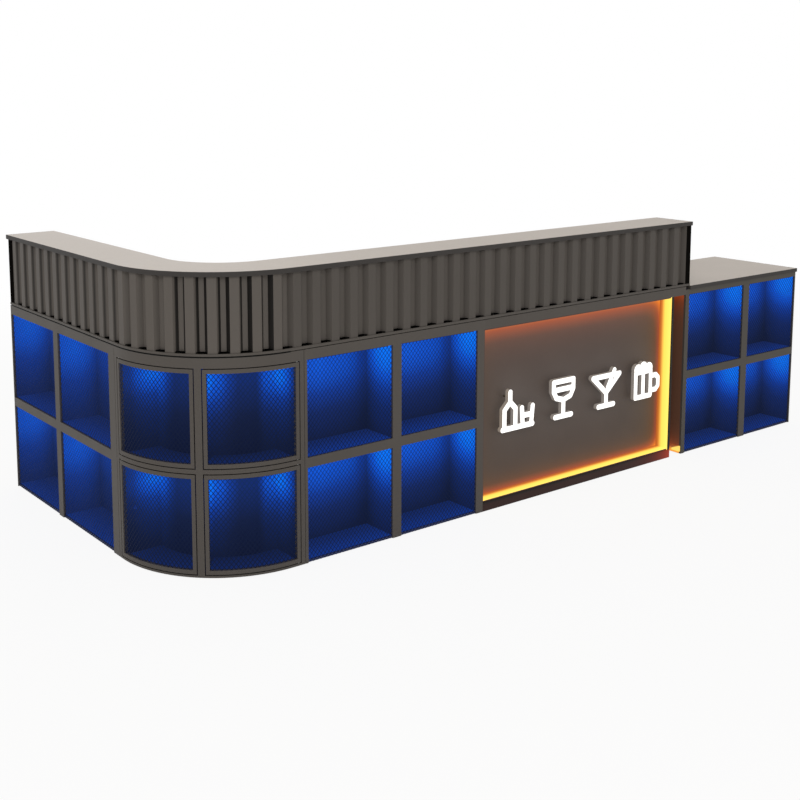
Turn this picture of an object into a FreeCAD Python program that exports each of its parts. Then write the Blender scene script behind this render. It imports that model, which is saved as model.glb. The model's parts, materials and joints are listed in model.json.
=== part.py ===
"""Bar counter with lit display cubbies, in steel, board and mesh.

An L-shaped counter: a short wing, a rounded corner and a long front. Customers see two rows of
shallow lit cubbies behind expanded mesh, a lit sign bay and a narrow niche. A corrugated riser
carries the raised bar top over all of it except the low cabinet at the right end. The staff side
has open bays, a cupboard and two drawers under the worktop.

Millimetres. X runs along the front, Y from the customers to the staff, Z up. The front face is
the plane y = 0 and the wing's face is the plane x = 0 until the last step, which moves the
origin to the middle of the footprint on the floor.
"""
import FreeCAD, Part
import math
import os
from FreeCAD import Vector

os.makedirs("parts", exist_ok=True)

# ---- overall sizes ----
front_length = 3590.0        # along X, over the low worktop's end
wing_length = 1512.0         # along Y, over the bar top's end
counter_height = 1130.0      # floor to the raised bar top
low_top_height = 824.0       # floor to the worktop
face_radius = 460.0          # plan radius of the rounded corner's face
arc_to_staff_side = 46.0     # the arc's ends to the staff-side fronts
bar_top_depth = 218.0        # raised bar top, front to back

# ---- tops ----
top_thickness = 18.0
front_overhang = 6.0         # both tops stand out past the customer face
staff_overhang = 5.0         # worktop past the staff-side fronts
end_overhang = 4.0           # tops past the end panels
trim_thickness = 2.0         # edge band of both tops

# ---- face frames ----
frame_depth = 10.0           # flat steel fascia of the straight modules
post_width = 43.0            # between two cubbies
right_post_width = 46.0      # between the right cabinet's two cubbies
wing_joint_post = 50.0       # wing post beside the corner
front_joint_post = 12.0      # front post beside the corner
sign_side_post = 37.0        # front post beside the sign bay
cabinet_side_post = 26.0     # right cabinet's post beside the niche
floor_board = 10.0           # lowest cubby floor
mid_rail_height = 38.0
mid_shelf_height = 410.0     # floor to the upper cubbies' floor
top_rail_height = 24.0       # below the worktop
shadow_gap = 3.0             # dark line between the top rail and the riser's base
module_gap = 2.0             # between neighbouring modules

# ---- cubbies ----
cubby_depth = 170.0          # face to the lit back panel
back_panel_thickness = 6.0
wing_inner_cubby = 470.0     # widths; the wing's outer cubby takes what is left
front_first_cubby = 401.0
front_second_cubby = 398.0
right_first_cubby = 424.0
right_second_cubby = 384.0
mesh_thickness = 2.0
mesh_setback = 4.0           # face of the frame to the mesh

# ---- rounded corner ----
corner_tail_wing = 28.0      # straight piece past the arc, on the wing side
corner_tail_front = 57.0     # and on the front side
corner_frame_depth = 18.0
corner_end_post = 17.0
corner_centre_post = 26.0
corner_mid_rail = 16.0
corner_base_rail = 8.0
door_gap = 4.0               # all round each curved door
door_depth = 16.0
door_stile = 14.0
door_rail = 15.0
pivot_inset = 6.0            # pivot to the door's edge and to its face
pivot_radius = 2.5
pivot_clearance = 0.05
pivot_reach = 6.0            # pin into the door and into the frame

# ---- sign bay and niche ----
sign_recess = 70.0           # face to the sign panel
sign_panel_thickness = 12.0
sign_sill_height = 43.0      # floor to the recess's lower edge
fin_thickness = 12.0         # upright fin at the sign bay's right side
niche_width = 85.0
diffuser_thickness = 6.0
strip_width = 8.0
strip_thickness = 2.0
strip_clearance = 0.5
emblem_first = 224.0         # recess's left side to the first emblem's middle
emblem_last = 136.0          # last emblem's middle to the recess's right side
emblem_width = 200.0
emblem_height = 182.0
emblem_centre_height = 403.0
emblem_stroke = 24.0
emblem_foam_radius = 26.0
emblem_thickness = 18.0
emblem_standoff = 24.0
standoff_radius = 4.0
niche_light_height = 27.0
niche_light_length = 48.0
niche_light_thickness = 4.0

# ---- riser ----
riser_base_height = 10.0     # flat base rail that shows as a thin ledge
riser_base_depth = 66.0
cladding_setback = 4.0
fold_pitch = 85.2
fold_depth = 20.0
fold_rib = 34.2              # flat front of a rib; a recess takes what is left
fold_slope = 13.0            # run of each slanted side
wing_fold_phase = 12.0       # wing's last recess centre to the arc's start
front_fold_phase = 9.0       # corner's last recess centre to the arc's end; both seams are in a floor
sheet_thickness = 2.0
riser_end_post = 40.0
riser_right_end_post = 30.0
riser_post_size = 30.0
riser_post_setback = 32.0
riser_post_spacing = 520.0
riser_back_thickness = 16.0
riser_back_overhang = 6.0    # bar top past the riser's back panel

# ---- staff side ----
board = 18.0
back_board = 4.0
storage_gap = 2.0            # lit back panel to the storage's back board
plinth_height = 80.0
kick_recess = 44.0
kick_clearance = 3.0         # kick board to the floor and to the shelf above
shelf_height = 430.0
shelf_side_clearance = 0.5
shelf_setback = 12.0
shelf_pin_radius = 2.5
shelf_pin_length = 10.0
shelf_pin_depth = 6.0        # of it in the upright
shelf_pin_inset = 60.0
shelf_pin_clearance = 0.05
front_gap = 3.0              # round doors and drawer fronts
cupboard_width = 845.0       # between its uprights
stretcher_depth = 80.0
end_panel_thickness = 6.0
knob_radius = 15.0
knob_neck_radius = 7.0
knob_head_length = 10.0
knob_reach = 26.0
knob_inset = 45.0
drawer_side_thickness = 12.0
drawer_bottom_thickness = 9.0
drawer_top_space = 60.0      # drawer side below the front's top edge
drawer_length = 290.0
runner_thickness = 12.5
runner_height = 45.0
runner_clearance = 0.3

# ---- electrics, bolts and feet ----
channel_height = 6.0
channel_depth = 14.0
channel_wall = 1.5
channel_setback = 4.0        # behind the fascia or the curved door
channel_end_gap = 12.0
channel_clearance = 0.2
driver_length = 190.0
driver_height = 62.0
driver_thickness = 30.0
driver_count = 3
inlet_width = 50.0
inlet_height = 30.0
inlet_depth = 22.0
inlet_flange = 2.5
inlet_border = 6.0
inlet_clearance = 0.5
bolt_radius = 3.0
bolt_clearance = 0.25
bolt_head_radius = 7.0
bolt_head_height = 3.0
bolt_low_height = 190.0
bolt_high_height = 640.0
bolt_setback = 60.0
glide_radius = 7.5
glide_height = 4.0
glide_setback = 200.0

# ---- levels and places worked out from the sizes above ----
arc_length = face_radius * math.pi / 2
base_depth = face_radius + arc_to_staff_side
frame_bottom = glide_height
cubby_floor = frame_bottom + floor_board
mid_rail_bottom = mid_shelf_height - mid_rail_height
top_underside = low_top_height - top_thickness
cubby_ceiling = top_underside - top_rail_height
raised_rail_top = low_top_height - shadow_gap
riser_floor = low_top_height + riser_base_height
bar_top_underside = counter_height - top_thickness
mesh_back = mesh_setback + mesh_thickness
back_panel_back = cubby_depth + back_panel_thickness
storage_front = back_panel_back + storage_gap
worktop_back = base_depth + staff_overhang
bar_top_back = bar_top_depth - front_overhang
riser_back_depth = bar_top_back - riser_back_overhang

wing_end = wing_length - end_overhang
wing_panel = wing_end - end_panel_thickness
wing_start = face_radius + corner_tail_wing + module_gap
wing_inner = (wing_start + wing_joint_post, wing_start + wing_joint_post + wing_inner_cubby)
wing_outer = (wing_inner[1] + post_width, wing_panel)

front_start = face_radius + corner_tail_front + module_gap
front_first = (front_start + front_joint_post, front_start + front_joint_post + front_first_cubby)
front_second = (front_first[1] + post_width, front_first[1] + post_width + front_second_cubby)
sign_start = front_second[1] + sign_side_post

front_end = front_length - end_overhang
right_panel = front_end - end_panel_thickness
right_second = (right_panel - right_second_cubby, right_panel)
right_first = (right_second[0] - right_post_width - right_first_cubby,
               right_second[0] - right_post_width)
right_start = right_first[0] - cabinet_side_post
fin_end = right_start - niche_width
fin_start = fin_end - fin_thickness
riser_end = right_start + cabinet_side_post
rows = ((cubby_floor, mid_rail_bottom), (mid_shelf_height, cubby_ceiling))


def box(x0, x1, y0, y1, z0, z1):
    return Part.makeBox(x1 - x0, y1 - y0, z1 - z0, Vector(x0, y0, z0))


def rod(radius, start, end):
    axis = Vector(*end) - Vector(*start)
    return Part.makeCylinder(radius, axis.Length, Vector(*start), axis)


def at(s, d, z=0.0):
    """Point s along the customer face from the arc's wing end, d behind the face."""
    if s < 0:
        return Vector(d, face_radius - s, z)
    if s > arc_length:
        return Vector(face_radius + s - arc_length, d, z)
    angle = math.pi + s / face_radius
    reach = face_radius - d
    return Vector(face_radius + reach * math.cos(angle), face_radius + reach * math.sin(angle), z)


def on_wing(y):
    return face_radius - y


def on_front(x):
    return arc_length + x - face_radius


def face_edges(s0, s1, d, z):
    """The face line between two places, as its straight and round stretches."""
    edges = []
    for low, high in ((s0, min(s1, 0.0)), (max(s0, arc_length), s1)):
        if high - low > 1e-6:
            edges.append(Part.LineSegment(at(low, d, z), at(high, d, z)).toShape())
    low, high = max(s0, 0.0), min(s1, arc_length)
    if high - low > 1e-6:
        edges.append(Part.Arc(at(low, d, z), at((low + high) / 2, d, z), at(high, d, z)).toShape())
    return edges


def band(s0, s1, d0, d1, z0, z1):
    """A solid that follows the customer face from s0 to s1, between two depths and two levels."""
    edges = face_edges(s0, s1, d0, z0) + face_edges(s0, s1, d1, z0)
    for s in (s0, s1):
        edges.append(Part.LineSegment(at(s, d0, z0), at(s, d1, z0)).toShape())
    outline = Part.Wire(Part.__sortEdges__(edges))
    return Part.Face(outline).extrude(Vector(0, 0, z1 - z0))


def prism(points, z0, z1):
    """A solid with straight edges in plan."""
    corners = [Vector(p.x, p.y, z0) for p in points]
    outline = Part.makePolygon(corners + corners[:1])
    return Part.Face(outline).extrude(Vector(0, 0, z1 - z0))


nodes = {}


def add(name, *solids):
    nodes.setdefault(name, []).extend(solids)


def cut(solid, *tools):
    for tool in tools:
        solid = solid.cut(tool)
    return solid


# ---- module-joining bolts: each goes through the two side boards of a joint ----
bolt_places = []             # (s at the head, s at the nut, level)
for level in (bolt_low_height, bolt_high_height):
    bolt_places.append((-corner_tail_wing + corner_end_post, on_wing(wing_inner[0]), level))
    bolt_places.append((arc_length + corner_tail_front - corner_end_post,
                        on_front(front_first[0]), level))


def bolt_holes():
    holes = []
    for s0, s1, level in bolt_places:
        holes.append(rod(bolt_radius + bolt_clearance, at(s0, bolt_setback, level),
                         at(s1, bolt_setback, level)))
    return holes


def make_joining_bolts():
    for s0, s1, level in bolt_places:
        head, nut = at(s0, bolt_setback, level), at(s1, bolt_setback, level)
        along = (nut - head).normalize()
        parts = [rod(bolt_radius, head, nut),
                 rod(bolt_head_radius, head - along * bolt_head_height, head),
                 rod(bolt_head_radius, nut, nut + along * bolt_head_height)]
        add("joining_bolts", parts[0].fuse(parts[1:]).removeSplitter())


# ---- straight display modules ----
def led_channel(s0, s1, depth, ceiling):
    """Aluminium channel and its diffuser along the front edge of a cubby's ceiling."""
    s0, s1 = s0 + channel_end_gap, s1 - channel_end_gap
    low = ceiling - channel_height
    body = band(s0, s1, depth, depth + channel_depth, low, ceiling)
    groove = band(s0, s1, depth + channel_wall, depth + channel_depth - channel_wall,
                  low, ceiling - channel_wall)
    lens = band(s0, s1, depth + channel_wall + channel_clearance,
                depth + channel_depth - channel_wall - channel_clearance,
                low, ceiling - channel_wall)
    add("cubby_led_channels", cut(body, groove))
    add("cubby_led_diffusers", lens)


def display_module(name, place, start, end, cubbies, rail_top):
    """Face frame, cubby boards, mesh, lit back panel and light strips of a straight module.

    The frame has no base rail: the mesh runs down over the front edge of the lowest floor. At a
    free end the cubby is closed by the end panel, with no post.
    """
    bays = sorted(tuple(sorted(map(place, bay))) for bay in cubbies)
    s0, s1 = sorted((place(start), place(end)))
    stops = [s0] + [side for bay in bays for side in bay] + [s1]
    for low, high in zip(stops[0::2], stops[1::2]):
        if high - low < post_width / 10:
            continue
        add(name + "_frame", band(low, high, 0, frame_depth, frame_bottom, rail_top))
        side = band(low, high, frame_depth, cubby_depth, frame_bottom, top_underside)
        add(name + "_display_boards", cut(side, *bolt_holes()))
    for low, high in bays:
        add(name + "_frame",
            band(low, high, 0, frame_depth, mid_rail_bottom, mid_shelf_height),
            band(low, high, 0, frame_depth, cubby_ceiling, rail_top))
        add(name + "_display_boards",
            band(low, high, mesh_back, cubby_depth, frame_bottom, cubby_floor),
            band(low, high, frame_depth, cubby_depth, mid_rail_bottom, mid_shelf_height),
            band(low, high, frame_depth, cubby_depth, cubby_ceiling, top_underside))
        for z0, z1 in rows:
            mesh_bottom = frame_bottom if z0 == cubby_floor else z0
            add("display_mesh_panels", band(low, high, mesh_setback, mesh_back, mesh_bottom, z1))
            led_channel(low, high, frame_depth + channel_setback, z1)
    add("display_back_panels",
        band(s0, s1, cubby_depth, back_panel_back, frame_bottom, top_underside))


def make_displays():
    display_module("wing", on_wing, wing_start, wing_panel, (wing_inner, wing_outer),
                   raised_rail_top)
    display_module("front", on_front, front_start, sign_start, (front_first, front_second),
                   raised_rail_top)
    display_module("right", on_front, right_start, right_panel, (right_first, right_second),
                   top_underside)


# ---- rounded corner with four curved doors ----
corner_start = -corner_tail_wing
corner_end = arc_length + corner_tail_front
door_bay = (corner_start + corner_end_post, corner_end - corner_end_post)
corner_centre = (door_bay[0] + door_bay[1]) / 2
half_post = corner_centre_post / 2
door_spans = {"left": (door_bay[0] + door_gap, corner_centre - half_post - door_gap),
              "right": (corner_centre + half_post + door_gap, door_bay[1] - door_gap)}
corner_rails = ((frame_bottom, frame_bottom + corner_base_rail),
                (mid_shelf_height - corner_mid_rail, mid_shelf_height),
                (cubby_ceiling, raised_rail_top))
door_levels = {"lower": (corner_rails[0][1] + door_gap, corner_rails[1][0] - door_gap),
               "upper": (corner_rails[1][1] + door_gap, corner_rails[2][0] - door_gap)}
hinge_places = {"left": door_spans["left"][0] + pivot_inset,
                "right": door_spans["right"][1] - pivot_inset}


def add_pivot_pins(place, z0, z1, gap):
    """Two pins on one upright axis, at the bottom and the top of a door."""
    for edge, outward in ((z0, -1), (z1, 1)):
        low, high = sorted((edge - outward * pivot_reach, edge + outward * (gap + pivot_reach)))
        add("door_pivot_pins", rod(pivot_radius, (place.x, place.y, low), (place.x, place.y, high)))


def pivot_hole(place, z0, z1):
    return rod(pivot_radius + pivot_clearance, (place.x, place.y, z0), (place.x, place.y, z1))


def make_corner_frame():
    holes = []
    for side, s in hinge_places.items():
        place = at(s, pivot_inset)
        for z0, z1 in door_levels.values():
            for edge, outward in ((z0, -1), (z1, 1)):
                low, high = sorted((edge, edge + outward * (door_gap + pivot_reach)))
                holes.append(pivot_hole(place, low, high))
    for z0, z1 in corner_rails:
        add("corner_frame", cut(band(*door_bay, 0, corner_frame_depth, z0, z1), *holes))
    for s0, s1 in ((corner_start, door_bay[0]), (door_bay[1], corner_end)):
        add("corner_frame", band(s0, s1, 0, corner_frame_depth, frame_bottom, raised_rail_top))
    for low, high in zip(corner_rails, corner_rails[1:]):
        add("corner_frame", band(corner_centre - half_post, corner_centre + half_post,
                                 0, corner_frame_depth, low[1], high[0]))


def make_corner_boards():
    for s0, s1 in ((corner_start, door_bay[0]), (door_bay[1], corner_end)):
        side = band(s0, s1, corner_frame_depth, cubby_depth, frame_bottom, top_underside)
        add("corner_display_boards", cut(side, *bolt_holes()))
    for z0, z1 in ((frame_bottom, cubby_floor), (mid_rail_bottom, mid_shelf_height),
                   (cubby_ceiling, top_underside)):
        add("corner_display_boards", band(*door_bay, corner_frame_depth, cubby_depth, z0, z1))
    for z0, z1 in rows:
        add("corner_display_boards",
            band(corner_centre - half_post, corner_centre + half_post,
                 corner_frame_depth, cubby_depth, z0, z1))
        for s0, s1 in ((door_bay[0], corner_centre - half_post),
                       (corner_centre + half_post, door_bay[1])):
            led_channel(s0, s1, corner_frame_depth + channel_setback, z1)
    add("corner_back_panel",
        band(corner_start, corner_end, cubby_depth, back_panel_back, frame_bottom, top_underside))


def make_corner_doors():
    for level, (z0, z1) in door_levels.items():
        for side, (s0, s1) in door_spans.items():
            place = at(hinge_places[side], pivot_inset)
            opening = (s0 + door_stile, s1 - door_stile)
            leaf = band(s0, s1, 0, door_depth, z0, z1)
            window = band(*opening, -1, door_depth + 1, z0 + door_rail, z1 - door_rail)
            add(f"corner_door_frame_{level}_{side}",
                cut(leaf, window, pivot_hole(place, z0, z0 + pivot_reach),
                    pivot_hole(place, z1 - pivot_reach, z1)))
            add(f"corner_door_mesh_{level}_{side}",
                band(*opening, mesh_setback, mesh_back, z0 + door_rail, z1 - door_rail))
            add_pivot_pins(place, z0, z1, door_gap)


# ---- sign bay and niche ----
def lit_lining(x0, x1, z0, z1, inward):
    """A diffuser on one side of the sign recess, with the light strip in its groove."""
    middle = (mesh_setback + sign_recess) / 2
    half = strip_width / 2
    room = half + strip_clearance
    lens = box(x0, x1, mesh_setback, sign_recess, z0, z1)
    deep = strip_thickness + strip_clearance
    groove = {"up": (x0, x1, z0, z0 + deep), "down": (x0, x1, z1 - deep, z1),
              "left": (x1 - deep, x1, z0, z1), "right": (x0, x0 + deep, z0, z1)}[inward]
    strip = {"up": (x0, x1, z0, z0 + strip_thickness), "down": (x0, x1, z1 - strip_thickness, z1),
             "left": (x1 - strip_thickness, x1, z0, z1),
             "right": (x0, x0 + strip_thickness, z0, z1)}[inward]
    slot = box(groove[0], groove[1], middle - room, middle + room, groove[2], groove[3])
    add("sign_light_diffusers", cut(lens, slot))
    add("sign_led_strips",
        box(strip[0], strip[1], middle - half, middle + half, strip[2], strip[3]))


def make_sign_bay():
    add("sign_bay_frame",
        box(sign_start, fin_end, 0, sign_recess, frame_bottom, sign_sill_height),
        box(fin_start, fin_end, 0, sign_recess, sign_sill_height, cubby_ceiling),
        box(sign_start, right_start, 0, frame_depth, cubby_ceiling, raised_rail_top),
        box(sign_start, right_start, frame_depth, cubby_depth, cubby_ceiling, top_underside))
    add("sign_panel", box(sign_start, fin_end, sign_recess, sign_recess + sign_panel_thickness,
                          frame_bottom, cubby_ceiling))
    t = diffuser_thickness
    lit_lining(sign_start, fin_start, sign_sill_height, sign_sill_height + t, "up")
    lit_lining(sign_start, fin_start, cubby_ceiling - t, cubby_ceiling, "down")
    lit_lining(fin_start - t, fin_start, sign_sill_height + t, cubby_ceiling - t, "left")
    lit_lining(sign_start, sign_start + t, sign_sill_height + t, cubby_ceiling - t, "right")
    add("niche_panel", box(fin_end, right_start, cubby_depth, back_panel_back,
                           frame_bottom, cubby_ceiling))
    add("niche_panel", box(fin_end - fin_thickness, fin_end,
                           sign_recess + sign_panel_thickness, back_panel_back,
                           frame_bottom, cubby_ceiling))
    add("sign_light_diffusers",
        box(right_start - niche_light_thickness, right_start, mesh_setback,
            mesh_setback + niche_light_length, cubby_floor, cubby_floor + niche_light_height))


# Pictograms: strokes through points given as shares of the half width and of the height, round
# discs, and where the two standoffs meet them.
bottle_and_tumbler = {
    "strokes": [[(-1, 0), (1, 0)],
                [(-0.89, 0), (-0.89, 0.53), (-0.52, 0.73), (-0.16, 0.53), (-0.16, 0)],
                [(-0.52, 0.73), (-0.52, 1)],
                [(0.34, 0), (0.27, 0.5)], [(0.91, 0), (1, 0.5)], [(0.31, 0.28), (0.95, 0.28)]],
    "discs": [], "standoffs": [(0.1, 0), (-0.52, 0.85)]}
wine_glass = {
    "strokes": [[(-0.7, 1), (-0.7, 0.73), (-0.5, 0.54), (0, 0.46), (0.5, 0.54), (0.7, 0.73),
                 (0.7, 1), (-0.7, 1)],
                [(-0.7, 0.77), (0.7, 0.77)], [(0, 0.46), (0, 0)], [(-0.57, 0), (0.57, 0)]],
    "discs": [], "standoffs": [(0, 0), (0, 0.77)]}
cocktail_glass = {
    "strokes": [[(-1, 0.87), (0, 0.37), (1, 0.87), (-1, 0.87)], [(0.11, 0.53), (0.6, 1)],
                [(0, 0.37), (0, 0)], [(-0.57, 0), (0.57, 0)]],
    "discs": [], "standoffs": [(0, 0), (0, 0.87)]}
beer_mug = {
    "strokes": [[(-0.86, 0), (-0.86, 0.75), (0.32, 0.75), (0.32, 0), (-0.86, 0)],
                [(-0.27, 0), (-0.27, 0.75)],
                [(0.32, 0.58), (0.75, 0.58), (0.93, 0.48), (0.93, 0.24), (0.75, 0.14),
                 (0.32, 0.14)]],
    "discs": [(-0.7, 0.84), (-0.27, 0.89), (0.16, 0.84)],
    "standoffs": [(-0.27, 0), (-0.27, 0.75)]}
emblems = (bottle_and_tumbler, wine_glass, cocktail_glass, beer_mug)


def stroke_run(p, q):
    """A round-ended bar from p to q, as deep as an emblem."""
    side = (q - p).normalize().cross(Vector(0, 1, 0)) * (emblem_stroke / 2)
    ahead = (q - p).normalize() * (emblem_stroke / 2)
    edges = [Part.LineSegment(p + side, q + side).toShape(),
             Part.Arc(q + side, q + ahead, q - side).toShape(),
             Part.LineSegment(q - side, p - side).toShape(),
             Part.Arc(p - side, p - ahead, p + side).toShape()]
    return Part.Face(Part.Wire(edges)).extrude(Vector(0, emblem_thickness, 0))


def make_emblems():
    """Raised drink pictograms in a row, each on two standoffs."""
    span = fin_start - sign_start - emblem_first - emblem_last
    y1 = sign_recess - emblem_standoff
    y0 = y1 - emblem_thickness
    half_width = (emblem_width - emblem_stroke) / 2
    rise = emblem_height - emblem_stroke
    bottom = emblem_centre_height - rise / 2
    for number, emblem in enumerate(emblems):
        middle = sign_start + emblem_first + span * number / (len(emblems) - 1)

        def place(share, y=y0):
            return Vector(middle + share[0] * half_width, y, bottom + share[1] * rise)

        bars = [stroke_run(place(p), place(q)) for stroke in emblem["strokes"]
                for p, q in zip(stroke, stroke[1:])]
        bars += [rod(emblem_foam_radius, place(disc), place(disc, y1)) for disc in emblem["discs"]]
        legs = [rod(standoff_radius, place(spot, y1), place(spot, sign_recess))
                for spot in emblem["standoffs"]]
        add("sign_emblems", bars[0].fuse(bars[1:] + legs).removeSplitter())


# ---- riser ----
def fold_depths(s0, s1, centres, half_floor, depth):
    """Corners of one side of the folded sheet between s0 and s1, as (place, depth) pairs."""
    def profile(s):
        away = min(abs(s - c) for c in centres)
        rise = min(max(away - half_floor, 0.0) / fold_slope, 1.0)
        return depth + fold_depth * (1.0 - rise)
    corners = {round(s0, 6), round(s1, 6)}
    for c in centres:
        for offset in (half_floor, half_floor + fold_slope):
            corners.update(s for s in (c - offset, c + offset) if s0 + 0.5 < s < s1 - 0.5)
    return [(s, profile(s)) for s in sorted(corners)]


def folded_sheet(s0, s1, first, pitch):
    """Trapezoid-folded cladding from s0 to s1, with recess centres every pitch from first."""
    count = int((s1 - s0) / pitch) + 3
    begin = first + pitch * math.floor((s0 - first) / pitch)
    centres = [begin + pitch * i for i in range(count + 1)]
    slant = math.atan2(fold_depth, fold_slope)
    shift = sheet_thickness * math.tan(slant / 2)
    half_floor = (pitch - fold_rib) / 2 - fold_slope
    outer = fold_depths(s0, s1, centres, half_floor, cladding_setback)
    inner = fold_depths(s0, s1, centres, half_floor + shift, cladding_setback + sheet_thickness)
    points = [at(s, d) for s, d in outer] + [at(s, d) for s, d in reversed(inner)]
    return prism(points, riser_floor, bar_top_underside)


def make_riser():
    wing_stop = on_wing(wing_end - riser_end_post)
    front_stop = on_front(riser_end - riser_right_end_post)
    recess_span = arc_length - front_fold_phase + wing_fold_phase
    corner_pitch = recess_span / round(recess_span / fold_pitch)
    last_recess = arc_length - front_fold_phase
    add("riser_cladding_wing", folded_sheet(wing_stop, 0.0, -wing_fold_phase, fold_pitch))
    add("riser_cladding_corner", folded_sheet(0.0, arc_length, last_recess, corner_pitch))
    add("riser_cladding_front", folded_sheet(arc_length, front_stop, last_recess, fold_pitch))
    for s0, s1 in ((on_wing(wing_end), 0.0), (0.0, arc_length), (arc_length, on_front(riser_end))):
        add("riser_frame", band(s0, s1, 0, riser_base_depth, low_top_height, riser_floor))
    for s0, s1 in ((wing_stop, 0.0), (0.0, arc_length), (arc_length, front_stop)):
        count = max(1, round((s1 - s0) / riser_post_spacing))
        for number in range(count):
            middle = s0 + (s1 - s0) * (number + 0.5) / count
            add("riser_frame", band(middle - riser_post_size / 2, middle + riser_post_size / 2,
                                    riser_post_setback, riser_post_setback + riser_post_size,
                                    riser_floor, bar_top_underside))
        add("riser_box_panels",
            band(s0, s1, riser_back_depth - riser_back_thickness, riser_back_depth,
                 low_top_height, bar_top_underside))
    for s0, s1 in ((on_wing(wing_end), wing_stop), (front_stop, on_front(riser_end))):
        add("riser_box_panels",
            band(s0, s1, trim_thickness, riser_base_depth, riser_floor, bar_top_underside).fuse(
                band(s0, s1, riser_base_depth, riser_back_depth, low_top_height,
                     bar_top_underside)).removeSplitter())


def make_bar_top():
    slab_front = trim_thickness - front_overhang
    ends = (on_wing(wing_length - trim_thickness), on_front(riser_end - trim_thickness))
    for name, s0, s1 in (("wing", ends[0], 0.0), ("corner", 0.0, arc_length),
                         ("front", arc_length, ends[1])):
        add("bar_top_" + name,
            band(s0, s1, slab_front, bar_top_back, bar_top_underside, counter_height))
    for s0, s1 in ((ends[0] - trim_thickness, 0.0), (0.0, arc_length),
                   (arc_length, ends[1] + trim_thickness)):
        add("edge_trims",
            band(s0, s1, -front_overhang, slab_front, bar_top_underside, counter_height))
    for s0, s1 in ((ends[0] - trim_thickness, ends[0]), (ends[1], ends[1] + trim_thickness)):
        add("edge_trims",
            band(s0, s1, slab_front, bar_top_back, bar_top_underside, counter_height))


def make_worktops():
    z0, z1 = top_underside, low_top_height
    corner = band(0.0, arc_length, corner_frame_depth, face_radius - 1, z0, z1)
    wedge = prism([Vector(face_radius, face_radius, 0), at(0.0, face_radius - 1),
                   at(arc_length, face_radius - 1)], z0, z1)
    arms = [box(corner_frame_depth, worktop_back, face_radius, worktop_back, z0, z1),
            box(face_radius, worktop_back, corner_frame_depth, worktop_back, z0, z1)]
    add("worktop_corner", corner.fuse([wedge] + arms).removeSplitter())
    add("worktop_wing", box(corner_frame_depth, worktop_back, worktop_back,
                            wing_length - trim_thickness, z0, z1))
    slab_end = front_length - trim_thickness
    slab_front = trim_thickness - front_overhang
    slab = box(worktop_back, slab_end, corner_frame_depth, worktop_back, z0, z1)
    low_part = box(riser_end, slab_end, slab_front, corner_frame_depth, z0, z1)
    add("worktop_front", slab.fuse(low_part).removeSplitter())
    add("edge_trims",
        box(riser_end, front_length, -front_overhang, slab_front, z0, z1),
        box(slab_end, front_length, slab_front, worktop_back, z0, z1),
        box(corner_frame_depth, worktop_back, wing_length - trim_thickness, wing_length, z0, z1))


# ---- staff side ----
storage_top = top_underside
floor_top = plinth_height + board
corner_upright = base_depth
cupboard_start = sign_start
drawer_start = cupboard_start + cupboard_width
wing_uprights = (corner_upright, (corner_upright + wing_panel - board) / 2, wing_panel - board)
front_uprights = (corner_upright, sign_start - board, drawer_start, right_start - board)
right_uprights = (right_start, right_panel - board)
front_plane = base_depth - board
drawer_bay = (drawer_start + board, right_start - board)
cupboard_bay = (cupboard_start, drawer_start)
stretcher_bottom = storage_top - board


def swap(shape_box):
    """The same box with its X and Y exchanged, for the wing."""
    x0, x1, y0, y1, z0, z1 = shape_box
    return (y0, y1, x0, x1, z0, z1)


def storage_run(name, uprights, across, shelved):
    """Uprights, floors, back boards, kick boards and shelves of one open run."""
    turn = swap if across else (lambda b: b)
    pins = []
    for low, high in zip(uprights, uprights[1:]):
        bay = (low + board, high)
        add(name, box(*turn((*bay, storage_front, base_depth, plinth_height, floor_top))))
        add(name, box(*turn((*bay, storage_front, storage_front + back_board,
                             floor_top, storage_top))))
        add("kick_boards", box(*turn((*bay, base_depth - kick_recess - board,
                                      base_depth - kick_recess,
                                      frame_bottom + kick_clearance, plinth_height))))
        if (low, high) in shelved:
            add_shelf(bay, turn, pins)
    for start in uprights:
        upright = box(*turn((start, start + board, storage_front, base_depth,
                             frame_bottom, storage_top)))
        add(name, cut(upright, *pins))


def add_shelf(bay, turn, pins):
    """A loose shelf on four pins; the pins' holes are cut from the uprights."""
    low, high = bay
    back = storage_front + back_board + shelf_side_clearance
    add("adjustable_shelves",
        box(*turn((low + shelf_side_clearance, high - shelf_side_clearance,
                   back, base_depth - shelf_setback, shelf_height, shelf_height + board))))
    z = shelf_height - shelf_pin_radius
    for y in (back + shelf_pin_inset, base_depth - shelf_setback - shelf_pin_inset):
        for x, inward in ((low, 1), (high, -1)):
            tip = x + inward * (shelf_pin_length - shelf_pin_depth)
            root = x - inward * shelf_pin_depth
            ends = [(root, y, z), (tip, y, z)]
            if turn is swap:
                ends = [(y, root, z), (y, tip, z)]
            add("shelf_pins", rod(shelf_pin_radius, *ends))
            pins.append(rod(shelf_pin_radius + shelf_pin_clearance, *ends))


cupboard_levels = (floor_top + front_gap, stretcher_bottom - front_gap)
cupboard_middle = sum(cupboard_bay) / 2
cupboard_spans = {"left": (cupboard_bay[0] + front_gap, cupboard_middle - front_gap / 2),
                  "right": (cupboard_middle + front_gap / 2, cupboard_bay[1] - front_gap)}
cupboard_hinges = {"left": cupboard_spans["left"][0] + pivot_inset,
                   "right": cupboard_spans["right"][1] - pivot_inset}
cupboard_pivot_y = base_depth - pivot_inset


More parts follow.
